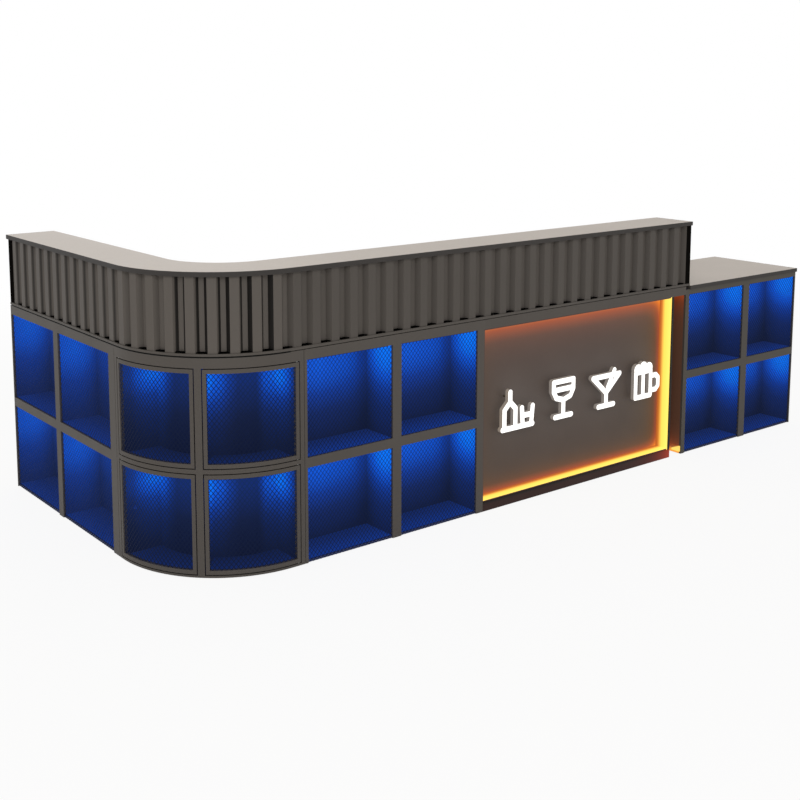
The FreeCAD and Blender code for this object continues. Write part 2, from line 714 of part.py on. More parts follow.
def make_storage():
    wing_bays = set(zip(wing_uprights, wing_uprights[1:]))
    storage_run("wing_storage_boards", wing_uprights, True, wing_bays)
    storage_run("front_storage_boards", front_uprights, False, {front_uprights[:2]})
    storage_run("right_storage_boards", right_uprights, False, set())
    for bay in (cupboard_bay, drawer_bay):
        add("front_storage_boards", box(*bay, base_depth - stretcher_depth, base_depth,
                                        stretcher_bottom, storage_top))
    holes = []
    z0, z1 = cupboard_levels
    for x in cupboard_hinges.values():
        place = Vector(x, cupboard_pivot_y, 0)
        holes.append(pivot_hole(place, z0 - front_gap - pivot_reach, z0))
        holes.append(pivot_hole(place, z1, z1 + front_gap + pivot_reach))
    nodes["front_storage_boards"] = [cut(solid, *holes) for solid in nodes["front_storage_boards"]]
    add("end_panels",
        box(frame_depth, base_depth, wing_panel, wing_end, frame_bottom, top_underside),
        box(right_panel, front_end, frame_depth, base_depth, frame_bottom, top_underside))
    add("wing_frame", box(0, frame_depth, wing_panel, wing_end, frame_bottom, raised_rail_top))
    add("right_frame", box(right_panel, front_end, 0, frame_depth, frame_bottom, top_underside))


def round_knob(x, z):
    """A turned knob on a staff-side front: a neck and a wider head."""
    neck_end = base_depth + knob_reach - knob_head_length
    neck = rod(knob_neck_radius, (x, base_depth, z), (x, neck_end, z))
    head = rod(knob_radius, (x, neck_end, z), (x, base_depth + knob_reach, z))
    return neck.fuse(head).removeSplitter()


def make_cupboard_doors():
    z0, z1 = cupboard_levels
    for side, (x0, x1) in cupboard_spans.items():
        place = Vector(cupboard_hinges[side], cupboard_pivot_y, 0)
        leaf = box(x0, x1, front_plane, base_depth, z0, z1)
        add(f"cupboard_door_{side}", cut(leaf, pivot_hole(place, z0, z0 + pivot_reach),
                                         pivot_hole(place, z1 - pivot_reach, z1)))
        add_pivot_pins(place, z0, z1, front_gap)
        edge = x1 - knob_inset if side == "left" else x0 + knob_inset
        add(f"cupboard_knob_{side}", round_knob(edge, z1 - 2 * knob_inset))


def make_drawers():
    x0, x1 = drawer_bay
    height = (stretcher_bottom - floor_top - 3 * front_gap) / 2
    box_x0 = x0 + runner_thickness + runner_clearance
    box_x1 = x1 - runner_thickness - runner_clearance
    box_y0 = front_plane - drawer_length
    for number, level in enumerate(("lower", "upper")):
        z0 = floor_top + front_gap + number * (height + front_gap)
        z1 = z0 + height
        side_top = z1 - drawer_top_space
        side_low = z0 + board
        node = "drawer_" + level
        t = drawer_side_thickness
        add(node, box(x0 + front_gap, x1 - front_gap, front_plane, base_depth, z0, z1),
            box(box_x0, box_x0 + t, box_y0, front_plane, side_low, side_top),
            box(box_x1 - t, box_x1, box_y0, front_plane, side_low, side_top),
            box(box_x0 + t, box_x1 - t, box_y0, box_y0 + t, side_low, side_top),
            box(box_x0 + t, box_x1 - t, box_y0 + t, front_plane,
                side_low, side_low + drawer_bottom_thickness))
        add(f"drawer_knob_{level}", round_knob((x0 + x1) / 2, z1 - knob_inset))
        rail = (side_low + side_top) / 2
        for low, high in ((x0, x0 + runner_thickness), (x1 - runner_thickness, x1)):
            add("drawer_runners", box(low, high, box_y0, front_plane - 1,
                                      rail - runner_height / 2, rail + runner_height / 2))


# ---- electrics and feet ----
def make_electrics():
    back = sign_recess + sign_panel_thickness
    step = (fin_start - sign_start) / driver_count
    for number in range(driver_count):
        middle = sign_start + step * (number + 0.5)
        add("led_drivers", box(middle - driver_length / 2, middle + driver_length / 2,
                               back, back + driver_thickness, sign_sill_height,
                               sign_sill_height + driver_height))
    kick_face = base_depth - kick_recess
    x = cupboard_middle
    z = (frame_bottom + kick_clearance + plinth_height) / 2
    half_x, half_z = inlet_width / 2, inlet_height / 2
    inner_x, inner_z = half_x - inlet_border, half_z - inlet_border
    flange = box(x - half_x, x + half_x, kick_face, kick_face + inlet_flange,
                 z - half_z, z + half_z)
    body = box(x - inner_x, x + inner_x, kick_face - inlet_depth, kick_face,
               z - inner_z, z + inner_z)
    well = box(x - inner_x + 2, x + inner_x - 2, kick_face - inlet_depth + 3,
               kick_face + inlet_flange, z - inner_z + 2, z + inner_z - 2)
    contacts = [box(x + off - 1, x + off + 1, kick_face - inlet_depth + 3,
                    kick_face - 4, z - 3, z + 3) for off in (-9, 0, 9)]
    add("power_inlet", flange.fuse(body).cut(well).fuse(contacts).removeSplitter())
    gap = inlet_clearance
    hole = box(x - inner_x - gap, x + inner_x + gap, kick_face - board, kick_face,
               z - inner_z - gap, z + inner_z + gap)
    nodes["kick_boards"] = [cut(solid, hole) for solid in nodes["kick_boards"]]


def make_glides():
    spots = []
    for start in front_uprights + right_uprights:
        spots += [(start + board / 2, y) for y in (glide_setback, base_depth - glide_setback / 3)]
    for start in wing_uprights:
        spots += [(x, start + board / 2) for x in (glide_setback, base_depth - glide_setback / 3)]
    for y in ((wing_inner[1] + wing_outer[0]) / 2, wing_start + wing_joint_post / 2):
        spots.append((cubby_depth / 2, y))
    for x in ((front_first[1] + front_second[0]) / 2, sign_start - sign_side_post / 2,
              right_start + cabinet_side_post / 2, (right_first[1] + right_second[0]) / 2):
        spots.append((x, cubby_depth / 2))
    centre = at(corner_centre, cubby_depth / 2)
    spots.append((centre.x, centre.y))
    for x, y in spots:
        add("levelling_glides", rod(glide_radius, (x, y, 0), (x, y, glide_height)))


make_displays()
make_corner_frame()
make_corner_boards()
make_corner_doors()
make_sign_bay()
make_emblems()
make_riser()
make_bar_top()
make_worktops()
make_storage()
make_cupboard_doors()
make_drawers()
make_electrics()
make_joining_bolts()
make_glides()

# the part's origin: middle of the footprint, on the floor
whole = Part.makeCompound([solid for solids in nodes.values() for solid in solids])
bounds = whole.BoundBox
origin = Vector((bounds.XMin + bounds.XMax) / 2, (bounds.YMin + bounds.YMax) / 2, bounds.ZMin)

for name, solids in nodes.items():
    for solid in solids:
        solid.translate(-origin)
    shape = solids[0] if len(solids) == 1 else Part.makeCompound(solids)
    if not shape.isValid():
        print("not valid:", name)
    shape.exportStep(f"parts/{name}.step")
print(len(nodes), "nodes; size", round(bounds.XLength, 1), round(bounds.YLength, 1),
      round(bounds.ZLength, 1), "; origin was at", [round(v, 2) for v in origin])
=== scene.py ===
import json
import math
import bmesh
import bpy
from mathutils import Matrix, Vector


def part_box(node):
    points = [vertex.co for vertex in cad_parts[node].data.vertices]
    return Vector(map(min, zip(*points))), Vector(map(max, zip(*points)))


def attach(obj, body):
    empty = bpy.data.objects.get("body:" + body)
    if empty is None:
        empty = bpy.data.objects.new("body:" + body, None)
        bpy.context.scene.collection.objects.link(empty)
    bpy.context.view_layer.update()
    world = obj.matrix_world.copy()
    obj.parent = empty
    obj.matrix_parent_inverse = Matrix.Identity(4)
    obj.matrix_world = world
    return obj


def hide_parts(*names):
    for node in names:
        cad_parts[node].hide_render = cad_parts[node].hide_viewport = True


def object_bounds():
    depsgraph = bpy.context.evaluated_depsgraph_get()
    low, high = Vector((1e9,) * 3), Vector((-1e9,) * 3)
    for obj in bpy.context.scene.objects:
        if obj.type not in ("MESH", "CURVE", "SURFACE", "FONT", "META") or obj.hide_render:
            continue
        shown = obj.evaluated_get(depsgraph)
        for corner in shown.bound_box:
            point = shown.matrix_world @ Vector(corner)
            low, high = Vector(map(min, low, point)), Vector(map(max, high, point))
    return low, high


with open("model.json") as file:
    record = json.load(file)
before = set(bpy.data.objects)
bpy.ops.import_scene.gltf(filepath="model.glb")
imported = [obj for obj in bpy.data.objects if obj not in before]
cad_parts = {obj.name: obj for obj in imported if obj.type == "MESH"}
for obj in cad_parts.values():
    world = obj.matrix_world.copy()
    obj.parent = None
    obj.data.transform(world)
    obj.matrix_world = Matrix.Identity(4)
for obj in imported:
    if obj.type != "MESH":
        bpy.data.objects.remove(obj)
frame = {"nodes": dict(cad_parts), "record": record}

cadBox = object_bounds()
nodes = frame["nodes"]
black = (0.0, 0.0, 0.0, 1.0)
white = (1.0, 1.0, 1.0, 1.0)


class Wire:
    # a node's output that Python's operators work on
    def __init__(self, finish, socket):
        self.finish, self.socket = finish, socket

    def maths(self, operation, *terms):
        return self.finish.node("ShaderNodeMath", {"operation": operation}, terms)

    def __add__(self, other):
        return self.maths("ADD", self, other)

    def __radd__(self, other):
        return self.maths("ADD", other, self)

    def __sub__(self, other):
        return self.maths("SUBTRACT", self, other)

    def __rsub__(self, other):
        return self.maths("SUBTRACT", other, self)

    def __mul__(self, other):
        return self.maths("MULTIPLY", self, other)

    def __rmul__(self, other):
        return self.maths("MULTIPLY", other, self)

    def __truediv__(self, other):
        return self.maths("DIVIDE", self, other)

    def __pow__(self, other):
        return self.maths("POWER", self, other)

    def __neg__(self):
        return self.maths("MULTIPLY", self, -1.0)

    def fade(self):
        # 1 at zero, fading as the value grows
        return self.maths("EXPONENT", -self)

    def bell(self):
        # 1 at zero, fading to both sides
        return (self * self).fade()

    def over(self, edge):
        return self.maths("GREATER_THAN", self, edge)

    def most(self, other):
        return self.maths("MAXIMUM", self, other)

    def least(self, other):
        return self.maths("MINIMUM", self, other)

    def within(self):
        # kept between 0 and 1
        return self.most(0.0).least(1.0)

    def size(self):
        return self.maths("ABSOLUTE", self)


class Finish:
    # one material, or the world, and the nodes in it
    def __init__(self, name, holder=None):
        self.material = holder or bpy.data.materials.new(name)
        self.material.use_nodes = True
        self.tree = self.material.node_tree
        self.tree.nodes.clear()
        self.place = None if holder else self.node("ShaderNodeTexCoord", out="Object")

    def node(self, kind, settings=None, sockets=(), out=0):
        made = self.tree.nodes.new(kind)
        for setting, value in (settings or {}).items():
            if setting == "stops":
                fillRamp(made.color_ramp, value)
            else:
                setattr(made, setting, value)
        pairs = sockets.items() if isinstance(sockets, dict) else enumerate(sockets)
        for socket, value in pairs:
            if isinstance(value, Wire):
                self.tree.links.new(value.socket, made.inputs[socket])
            else:
                made.inputs[socket].default_value = value
        return Wire(self, made.outputs[out]) if made.outputs else None

    def noise(self, scale, detail=2.0, stretch=(1.0, 1.0, 1.0)):
        place = self.node("ShaderNodeVectorMath", {"operation": "MULTIPLY"}, (self.place, stretch))
        return self.node("ShaderNodeTexNoise", None,
                         {"Vector": place, "Scale": scale, "Detail": detail, "Roughness": 0.55})

    def mix(self, amount, low, high, blend="MIX"):
        return self.node("ShaderNodeMix", {"data_type": "RGBA", "blend_type": blend},
                         {0: amount, 6: low, 7: high}, out=2)

    def shaded(self, colour, share):
        # a colour times a share that varies
        grey = self.node("ShaderNodeCombineColor", None, (share, share, share))
        return self.mix(1.0, colour, grey, "MULTIPLY")

    def ramp(self, value, stops):
        return self.node("ShaderNodeValToRGB", {"stops": stops}, (value,))

    def graph(self, value, places):
        # a number that follows the straight lines between (position, number) places
        return self.ramp(value, [(at, (number, number, number, 1.0)) for at, number in places])

    def split(self, vector):
        return [self.node("ShaderNodeSeparateXYZ", None, (vector,), out=axis) for axis in range(3)]

    def facing(self):
        # the surface's own direction, as three numbers
        return self.split(self.node("ShaderNodeNewGeometry", out="Normal"))

    def behindFace(self):
        # how far a point lies behind the customers' face, and the face's own direction there
        x, y, z = self.split(self.place)
        outX, outY = (x - arcX).least(0.0), (y - arcY).least(0.0)
        reach = (outX * outX + outY * outY) ** 0.5
        return cornerRadius - reach, outX / reach, outY / reach

    def bump(self, height, strength, distance):
        return self.node("ShaderNodeBump", None,
                         {"Height": height, "Strength": strength, "Distance": distance})

    def arris(self, radius):
        # 0 on flats, towards 1 on outer and inner edges
        rounded = self.node("ShaderNodeBevel", {"samples": 4}, {"Radius": radius})
        flat = self.node("ShaderNodeNewGeometry", out="Normal")
        same = self.node("ShaderNodeVectorMath", {"operation": "DOT_PRODUCT"}, (rounded, flat),
                         out="Value")
        return ((1 - same) * 3.0).least(1.0)

    def hollows(self, distance, share):
        # painted shade: 1 in the open, down to 1 - share in corners and folds
        seen = self.node("ShaderNodeAmbientOcclusion", {"samples": 6}, {"Distance": distance},
                         out="AO")
        return seen * share + (1 - share)

    def surface(self, colour, roughness, normal=None, gloss=0.5, glow=None, strength=1.0,
                metal=0.0):
        sockets = {"Base Color": colour, "Roughness": roughness, "Specular IOR Level": gloss,
                   "Metallic": metal}
        if normal:
            sockets["Normal"] = normal
        if glow:
            sockets.update({"Emission Color": glow, "Emission Strength": strength})
        self.show(self.node("ShaderNodeBsdfPrincipled", None, sockets))
        return self.material

    def show(self, shader, kind="ShaderNodeOutputMaterial"):
        self.node(kind, None, (shader,))


def fillRamp(ramp, stops):
    while len(ramp.elements) < len(stops):
        ramp.elements.new(1.0)
    for element, (position, colour) in zip(ramp.elements, stops):
        element.position = position
        element.color = colour


def tone(red, green, blue, share=1.0):
    # a colour read off a screen, 0 to 255, as the linear colour that shaders use
    linear = []
    for part in (red, green, blue):
        part /= 255
        part = part / 12.92 if part <= 0.04045 else ((part + 0.055) / 1.055) ** 2.4
        linear.append(part * share)
    return (*linear, 1.0)


def scaled(colour, share):
    # a fixed colour, darker or lighter
    return (*(part * share for part in colour[:3]), 1.0)


# The customers' face: the wing, then a quarter circle, then the front. A place on it is the
# distance along from the arc's wing end, the depth behind it and the height.
cornerRadius = 0.46
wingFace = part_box("wing_frame")[0].x
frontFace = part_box("front_frame")[0].y
arcX, arcY = wingFace + cornerRadius, frontFace + cornerRadius
arcLength = cornerRadius * math.pi / 2
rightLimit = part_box("right_frame")[0].x
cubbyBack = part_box("display_back_panels")[0].y - frontFace
signRoom = {
    "left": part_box("sign_light_diffusers")[0].x,
    "right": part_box("sign_led_strips")[1].x,
    "bottom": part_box("sign_led_strips")[0].z,
    "top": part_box("sign_led_strips")[1].z,
}
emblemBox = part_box("sign_emblems")
slack = 0.001              # keeps a shader's limit off a face that lies right at it


def onFace(along, deep, height):
    if along < 0:
        return Vector((wingFace + deep, arcY - along, height))
    if along > arcLength:
        return Vector((arcX + along - arcLength, frontFace + deep, height))
    angle = math.pi + along / cornerRadius
    reach = cornerRadius - deep
    return Vector((arcX + reach * math.cos(angle), arcY + reach * math.sin(angle), height))


def placeOnFace(point):
    x, y, z = point
    if x > arcX:
        return arcLength + x - arcX, y - frontFace, z
    if y > arcY:
        return arcY - y, x - wingFace, z
    turn = math.atan2(arcY - y, arcX - x)
    return turn * cornerRadius, cornerRadius - math.hypot(arcX - x, arcY - y), z


def faceRanges(points):
    # the ranges that points take along, behind and up the face
    return [(min(values), max(values)) for values in zip(*map(placeOnFace, points))]


def solidsOf(node):
    # the separate solids of a node, each as its points
    mesh = nodes[node].data
    spots = [tuple(round(part, 5) for part in vertex.co) for vertex in mesh.vertices]
    leader = {spot: spot for spot in spots}

    def lead(spot):
        while leader[spot] != spot:
            leader[spot] = leader[leader[spot]]
            spot = leader[spot]
        return spot

    for face in mesh.polygons:
        first = lead(spots[face.vertices[0]])
        for index in face.vertices[1:]:
            leader[lead(spots[index])] = first
    solids = {}
    for spot in leader:
        solids.setdefault(lead(spot), []).append(spot)
    return list(solids.values())


coat = {
    "colour": tone(80, 75, 70),
    "edgeHighlight": tone(106, 100, 94),
    "drift": 0.10,         # share by which the shade wanders
    "edge": 0.002,         # width of the painted highlight along the edges
    # strength of the painted highlight along the edges
    "edgeHighlightShare": 0.45,
    "peel": 650.0,         # grains of orange peel in a metre
    "peelDepth": 0.0004,
    "roughness": 0.46,
    "smears": 0.14,        # how much rougher the smears are
    "hollow": 0.02,        # how far the shade in corners reaches, and its strength
    "hollowShade": 0.35,
    "joint": 0.8225,       # height of the painted shadow in the gap under the wing's and the corner's riser
    "jointHalf": 0.0030,
    "jointLight": 0.12,    # light left in it
}


def coatNodes(finish, colour, edgeHighlight, edgeHighlightShare=coat["edgeHighlightShare"]):
    # powder coat: slow random drift of tone, a painted highlight along the edges, orange peel
    drift = finish.noise(1.7, 3.0)
    smears = finish.noise(9.0, 4.0, (1.0, 1.0, 0.25))
    shade = finish.mix(drift, scaled(colour, 1 - coat["drift"]), scaled(colour, 1 + coat["drift"]))
    # painted highlight along the edges
    shade = finish.mix(finish.arris(coat["edge"]) * edgeHighlightShare, shade, edgeHighlight)
    peel = finish.noise(coat["peel"], 2.0) * 0.7 + smears * 0.3
    roughness = coat["roughness"] + smears * coat["smears"]
    return shade, roughness, finish.bump(peel, 0.12, coat["peelDepth"])


def paintFinish(name, colour=coat["colour"], edgeHighlight=coat["edgeHighlight"], gloss=0.25):
    finish = Finish(name)
    shade, roughness, normal = coatNodes(finish, colour, edgeHighlight)
    x, y, z = finish.split(finish.place)
    # painted shadow along the gap under the wing's and the corner's riser, then painted shade in
    # corners
    beside = ((z - coat["joint"]).size() - coat["jointHalf"]).over(0.0).most(x.over(arcX))
    light = coat["jointLight"] + (1 - coat["jointLight"]) * beside
    shade = finish.shaded(shade, finish.hollows(coat["hollow"], coat["hollowShade"]) * light)
    return finish.surface(shade, roughness, normal, gloss)


riserBox = {
    "colour": tone(58, 54, 51),
    "edgeHighlight": tone(78, 74, 70),
    "end": tone(15, 14, 13),
    "endReach": 0.045,     # how far in from its ends the painted shade, near black, reaches
}


def boxFinish(name):
    # the riser's box panels: charcoal towards the staff, with painted shade near black at their
    # open ends
    finish = Finish(name)
    x, y, z = finish.split(finish.place)
    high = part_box("riser_box_panels")[1]
    end = x.over(high.x - riserBox["endReach"]).most(y.over(high.y - riserBox["endReach"]))
    charcoal, roughness, normal = coatNodes(finish, riserBox["colour"], riserBox["edgeHighlight"])
    return finish.surface(finish.mix(end, charcoal, riserBox["end"]), roughness, normal, 0.0)


# painted shade on the slanted sides and under the bar top, and painted light on the wing, the
# corner and the front's recess floors
fold = {
    "front": 0.004,        # face to the ribs
    "floor": 0.024,        # face to the recess floors
    "slanted": (0.25, 0.9),    # how squarely a slanted side looks out
    "stripe": 0.30,        # where the dark lies down a slanted side, 1 being the floor
    "stripeHalf": 0.26,    # on the wing, a stripe
    "stripeSteep": 4.0,    # on the corner, dark down to the floor
    "wingSide": 0.80,      # how dark the painted shade is on the wing
    "cornerNear": 0.86,    # painted shade on the rounded corner's sides that face the front
    "cornerFar": 0.90,     # and those that face the wing
    "turnFrom": 0.25,      # the painted shade on the near sides starts where the corner has turned this far
    "turnSteep": 14.0,
    "turnLeast": 0.10,
    "frontSide": 0.08,
    "frontFloorPaintedLight": 0.12,     # painted light that makes the recess floors on the front paler
    "wingPaintedLight": 1.24,      # painted light that makes the wing's sheet paler
    "wingSunkPaintedLight": 0.36,  # and more so away from its ribs
    "wingSunkFrom": 0.05,
    "cornerPaintedLight": 1.28,
    "lip": 0.005,          # height of the painted shadow line under the bar top in each recess
    "lipDark": 0.85,
    "edgeHighlightShare": 0.25,
    "hollow": 0.012,       # how far the shade in its folds reaches, and its strength
    "hollowShade": 0.35,
    "gloss": 0.22,
}


def foldedFinish(name):
    # folded sheet: painted shade on the slanted sides, deeper towards the recess floors, and
    # painted light on the wing, the corner and the front's floors
    finish = Finish(name)
    shade, roughness, normal = coatNodes(finish, coat["colour"], coat["edgeHighlight"], fold["edgeHighlightShare"])
    x, y, z = finish.split(finish.place)
    depth, outX, outY = finish.behindFace()
    towardX, towardY = finish.facing()[:2]
    outward = towardX * outX + towardY * outY
    along = towardY * outX - towardX * outY
    slanted = outward.over(fold["slanted"][0]) * (1 - outward.over(fold["slanted"][1]))
    sunk = ((depth - fold["front"]) / (fold["floor"] - fold["front"])).within()
    onWing, onFront = (y - arcY).over(0.0), (x - arcX).over(0.0)
    onCorner = 1 - onWing - onFront
    turned = ((1 - outX * outX - fold["turnFrom"]) * fold["turnSteep"]).within()
    turned = fold["turnLeast"] + (1 - fold["turnLeast"]) * turned
    sideOn = along.over(0.0)
    near = onWing * fold["wingSide"] + onCorner * turned * fold["cornerNear"]
    far = onFront * fold["frontSide"] + onCorner * fold["cornerFar"]
    wingLine = ((sunk - fold["stripe"]) / fold["stripeHalf"]).bell()
    cornerLine = sideOn * ((sunk - fold["stripe"]) * fold["stripeSteep"]).within() + (1 - sideOn)
    sink = onWing * wingLine + onFront * sunk + onCorner * cornerLine
    dark = slanted * sink * (sideOn * near + (1 - sideOn) * far)
    # painted shadow line under the bar top in each recess
    underTop = z.over(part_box("riser_cladding_corner")[1].z - fold["lip"]) * sunk.over(0.5)
    dark = dark.most(underTop * fold["lipDark"])
    # painted light: the wing and the corner paler, and the front's recess floors paler
    sunkPaintedLight = sunk.over(fold["wingSunkFrom"]) * fold["wingSunkPaintedLight"]
    paintedLight = 1 + onWing * (fold["wingPaintedLight"] - 1 + sunkPaintedLight)
    paintedLight = paintedLight + onCorner * (fold["cornerPaintedLight"] - 1)
    paintedLight = paintedLight + onFront * sunk * (1 - slanted) * fold["frontFloorPaintedLight"]
    light = (1 - dark) * finish.hollows(fold["hollow"], fold["hollowShade"]) * paintedLight
    return finish.surface(finish.shaded(shade, light), roughness, normal, fold["gloss"])


lining = {
    "film": 0.0006,        # thickness of the blue lining
    "floors": (0.014, 0.410),
    "tops": (0.372, 0.782),
    "endGap": 0.012,       # light channel's end to the side of its cubby
    "channelWall": 0.0015,
    "flatFront": 0.0104,   # where the lining starts behind a flat fascia
    "roundFront": 0.0184,  # and behind the rounded corner's frame
    "step": 0.03,          # longest flat of a curved lining
    "dimSide": 0.94,       # painted light on the one side that stands beside the wing's last cubby
    "ceilingLevel": 0.70,
    "uneven": 0.05,        # how much the painted light wanders
    "atBack": 0.985,       # share of the depth from which a face is the back
}
# painted blue light on the mesh strands, strongest just below the lamps
meshGlow = {
    "near": (0.002, 0.022, 0.110, 1.0),
    "away": (0.0008, 0.004, 0.020, 1.0),
    "reach": 0.12,         # how fast it fades below the lamps
}


def meshFinish(name):
    # black dipped steel strands with painted blue light on them near the lamps
    finish = Finish(name)
    worn = finish.noise(160.0, 3.0)
    colour = finish.mix(worn, tone(4, 4, 7), tone(10, 10, 13))
    normal = finish.bump(finish.noise(1400.0), 0.2, 0.0002)
    rowHeight = lining["tops"][1] - lining["tops"][0]
    below = lining["tops"][1] - finish.split(finish.place)[2]
    below = below - below.over(rowHeight) * rowHeight
    fading = (below / meshGlow["reach"]).most(0.0).fade()
    caught = finish.mix(fading, meshGlow["away"], meshGlow["near"])
    return finish.surface(colour, 0.5 + worn * 0.2, normal, 0.08, caught)


blueStops = (
    # the lining's painted glow, from dark to bright
    (0.00, tone(9, 10, 16)),
    (0.20, tone(16, 24, 48)),
    (0.40, tone(18, 37, 90)),
    (0.60, tone(16, 54, 142)),
    (0.80, tone(14, 80, 200)),
    (1.00, tone(8, 116, 244)),
)
cubbyLight = {
    # painted brightness by height, then by depth along a side and by place across the back;
    # the floor's by depth
    "straight": {
        "side": ((0.0, 0.25), (0.1, 0.29), (0.27, 0.38), (0.42, 0.50), (0.55, 0.66), (0.65, 0.80),
                 (0.75, 0.91), (0.85, 0.96), (1.0, 0.98)),
        "deep": ((0.0, 0.95), (0.2, 1.0), (0.4, 0.99), (0.6, 0.93), (0.78, 0.81), (0.93, 0.68),
                 (1.0, 0.58)),
        "back": ((0.0, 0.22), (0.25, 0.36), (0.42, 0.53), (0.55, 0.68), (0.65, 0.77), (0.75, 0.82),
                 (1.0, 0.82)),
        "across": ((0.0, 0.88), (0.25, 0.95), (0.42, 1.0), (0.75, 0.91), (0.85, 0.83), (0.93, 0.68),
                   (1.0, 0.58)),
        "floor": ((0.0, 0.50), (1.0, 0.36)),
    },
    "wing": {
        "side": ((0.0, 0.38), (0.1, 0.42), (0.27, 0.50), (0.42, 0.59), (0.55, 0.69), (0.65, 0.77),
                 (0.75, 0.82), (1.0, 0.83)),
        "deep": ((0.0, 0.94), (0.2, 0.98), (0.4, 1.0), (0.6, 0.97), (0.78, 0.87), (0.93, 0.74),
                 (1.0, 0.62)),
        "back": ((0.0, 0.30), (0.25, 0.42), (0.42, 0.50), (0.55, 0.57), (0.75, 0.66), (1.0, 0.70)),
        "across": ((0.0, 0.80), (0.12, 0.92), (0.5, 1.0), (0.88, 0.92), (1.0, 0.80)),
        "floor": ((0.0, 0.50), (1.0, 0.36)),
    },
    "corner": {
        "side": ((0.0, 0.18), (0.1, 0.22), (0.27, 0.32), (0.42, 0.46), (0.55, 0.62), (0.65, 0.82),
                 (0.75, 0.95), (1.0, 0.92)),
        "deep": ((0.0, 0.52), (0.22, 0.62), (0.4, 0.83), (0.6, 0.95), (0.78, 1.0), (1.0, 0.97)),
        "back": ((0.0, 0.20), (0.27, 0.32), (0.42, 0.46), (0.55, 0.66), (0.65, 0.80), (0.75, 0.90),
                 (1.0, 0.86)),
        "across": ((0.0, 0.97), (0.15, 0.86), (0.27, 0.66), (0.42, 0.46), (0.72, 0.46),
                   (0.85, 0.84), (1.0, 0.98)),
        "floor": ((0.0, 0.36), (1.0, 0.24)),
    },
}


def cubbyGlow(name, light):
    # painted light: the glow of the lamps behind the top rail, fading down the back and the sides
    # of a cubby
    finish = Finish(name)
    spot = finish.node("ShaderNodeAttribute", {"attribute_name": "cubbyPlace"}, out="Vector")
    across, deep, height = finish.split(spot)
    sideLight = finish.node("ShaderNodeAttribute", {"attribute_name": "sideLight"}, out="Fac")
    back = finish.graph(height, light["back"]) * finish.graph(across, light["across"])
    side = finish.graph(height, light["side"]) * finish.graph(deep, light["deep"]) * sideLight
    base = finish.graph(deep, light["floor"])
    up = finish.facing()[2]
    onBase, onTop, onBack = up.over(0.5), (-up).over(0.5), deep.over(lining["atBack"])
    onSide = 1 - onBack.most(onBase).most(onTop)
    level = onBase * base + onTop * lining["ceilingLevel"] + onSide * side
    level = level + onBack * (1 - onBase.most(onTop)) * back
    level = level + (finish.noise(3.0) - 0.5) * lining["uneven"]
    glow = finish.ramp(level, blueStops)
    film = finish.mix(finish.noise(40.0, 3.0), tone(3, 14, 44), tone(5, 20, 58))
    normal = finish.bump(finish.noise(900.0), 0.1, 0.0003)
    return finish.surface(film, 0.6, normal, 0.08, glow, 1.15)


def boardFinish(name, colour, other, roughness, grain=(1.0, 1.0, 1.0)):
    # melamine board: fine grain along the board, pores as a light bump
    finish = Finish(name)
    fibres = finish.noise(26.0, 5.0, grain)
    drift = finish.noise(2.5, 2.0)
    shade = finish.mix(fibres * 0.75 + drift * 0.25, colour, other)
    return finish.surface(shade, roughness + fibres * 0.12, finish.bump(fibres, 0.18, 0.0004))


laminate = {
    "clouds": (tone(185, 176, 167), tone(199, 190, 181)),
    "speck": tone(158, 146, 134),
    "speckFrom": 0.56,     # grain above this shows as a speck
    "speckSteep": 2.2,
    # colour of the painted highlight along the arrises
    "arris": tone(216, 208, 198),
    "arrisWidth": 0.0015,
    "edge": tone(62, 58, 54),
}


def laminateFinish(name):
    # pale warm stone laminate: soft clouds, faint speckle, satin, a painted highlight along the
    # arrises, and dark edges
    finish = Finish(name)
    clouds = finish.noise(4.0, 5.0)
    grain = finish.noise(240.0, 2.0)
    specks = (grain - laminate["speckFrom"]).most(0.0) * laminate["speckSteep"]
    slab = finish.mix(clouds, *laminate["clouds"])
    slab = finish.mix(specks, slab, laminate["speck"])
    # painted highlight along the arrises
    slab = finish.mix(finish.arris(laminate["arrisWidth"]) * 0.6, slab, laminate["arris"])
    slab = finish.mix(finish.facing()[2].size().over(0.5), laminate["edge"], slab)
    return finish.surface(slab, 0.5 + clouds * 0.12, finish.bump(grain, 0.05, 0.0003), 0.3)


def metalFinish(name, colour, other, roughness, grain):
    # bare metal with fine drawn lines
    finish = Finish(name)
    lines = finish.noise(120.0, 4.0, grain)
    shade = finish.mix(lines, colour, other)
    normal = finish.bump(lines, 0.1, 0.0002)
    return finish.surface(shade, roughness + lines * 0.14, normal, metal=1.0)


def mouldedFinish(name, colour, other, roughness, gloss=0.5):
    # moulded plastic with a fine spark texture
    finish = Finish(name)
    sparks = finish.noise(700.0, 2.0)
    shade = finish.mix(finish.noise(18.0, 3.0), colour, other)
    normal = finish.bump(sparks, 0.15, 0.0003)
    return finish.surface(shade, roughness + sparks * 0.1, normal, gloss)


def boltFinish(name):
    # zinc bolts whose heads have blue caps where they show in the cubbies; the caps glow with
    # painted blue light to match the lining
    finish = Finish(name)
    bare = finish.behindFace()[0].over(cubbyBack)
    zinc = finish.mix(finish.noise(90.0), tone(150, 152, 150), tone(188, 190, 186))
    cap = finish.mix(finish.noise(30.0), tone(16, 42, 100), tone(20, 50, 116))
    glow = finish.mix(bare, tone(14, 44, 118), black)
    return finish.surface(finish.mix(bare, cap, zinc), 0.5 - bare * 0.12, glow=glow,
                          strength=0.8, metal=bare)


def lampFinish(name, colour, hotColour, strength, pale=1.0):
    # an opal cover over a light strip, hottest along its middle
    finish = Finish(name)
    bands = finish.noise(14.0, 2.0)
    cover = finish.mix(bands, tone(225, 220, 210, pale), tone(240, 238, 232, pale))
    glow = finish.mix(bands, colour, hotColour)
    return finish.surface(cover, 0.35, glow=glow, strength=strength)


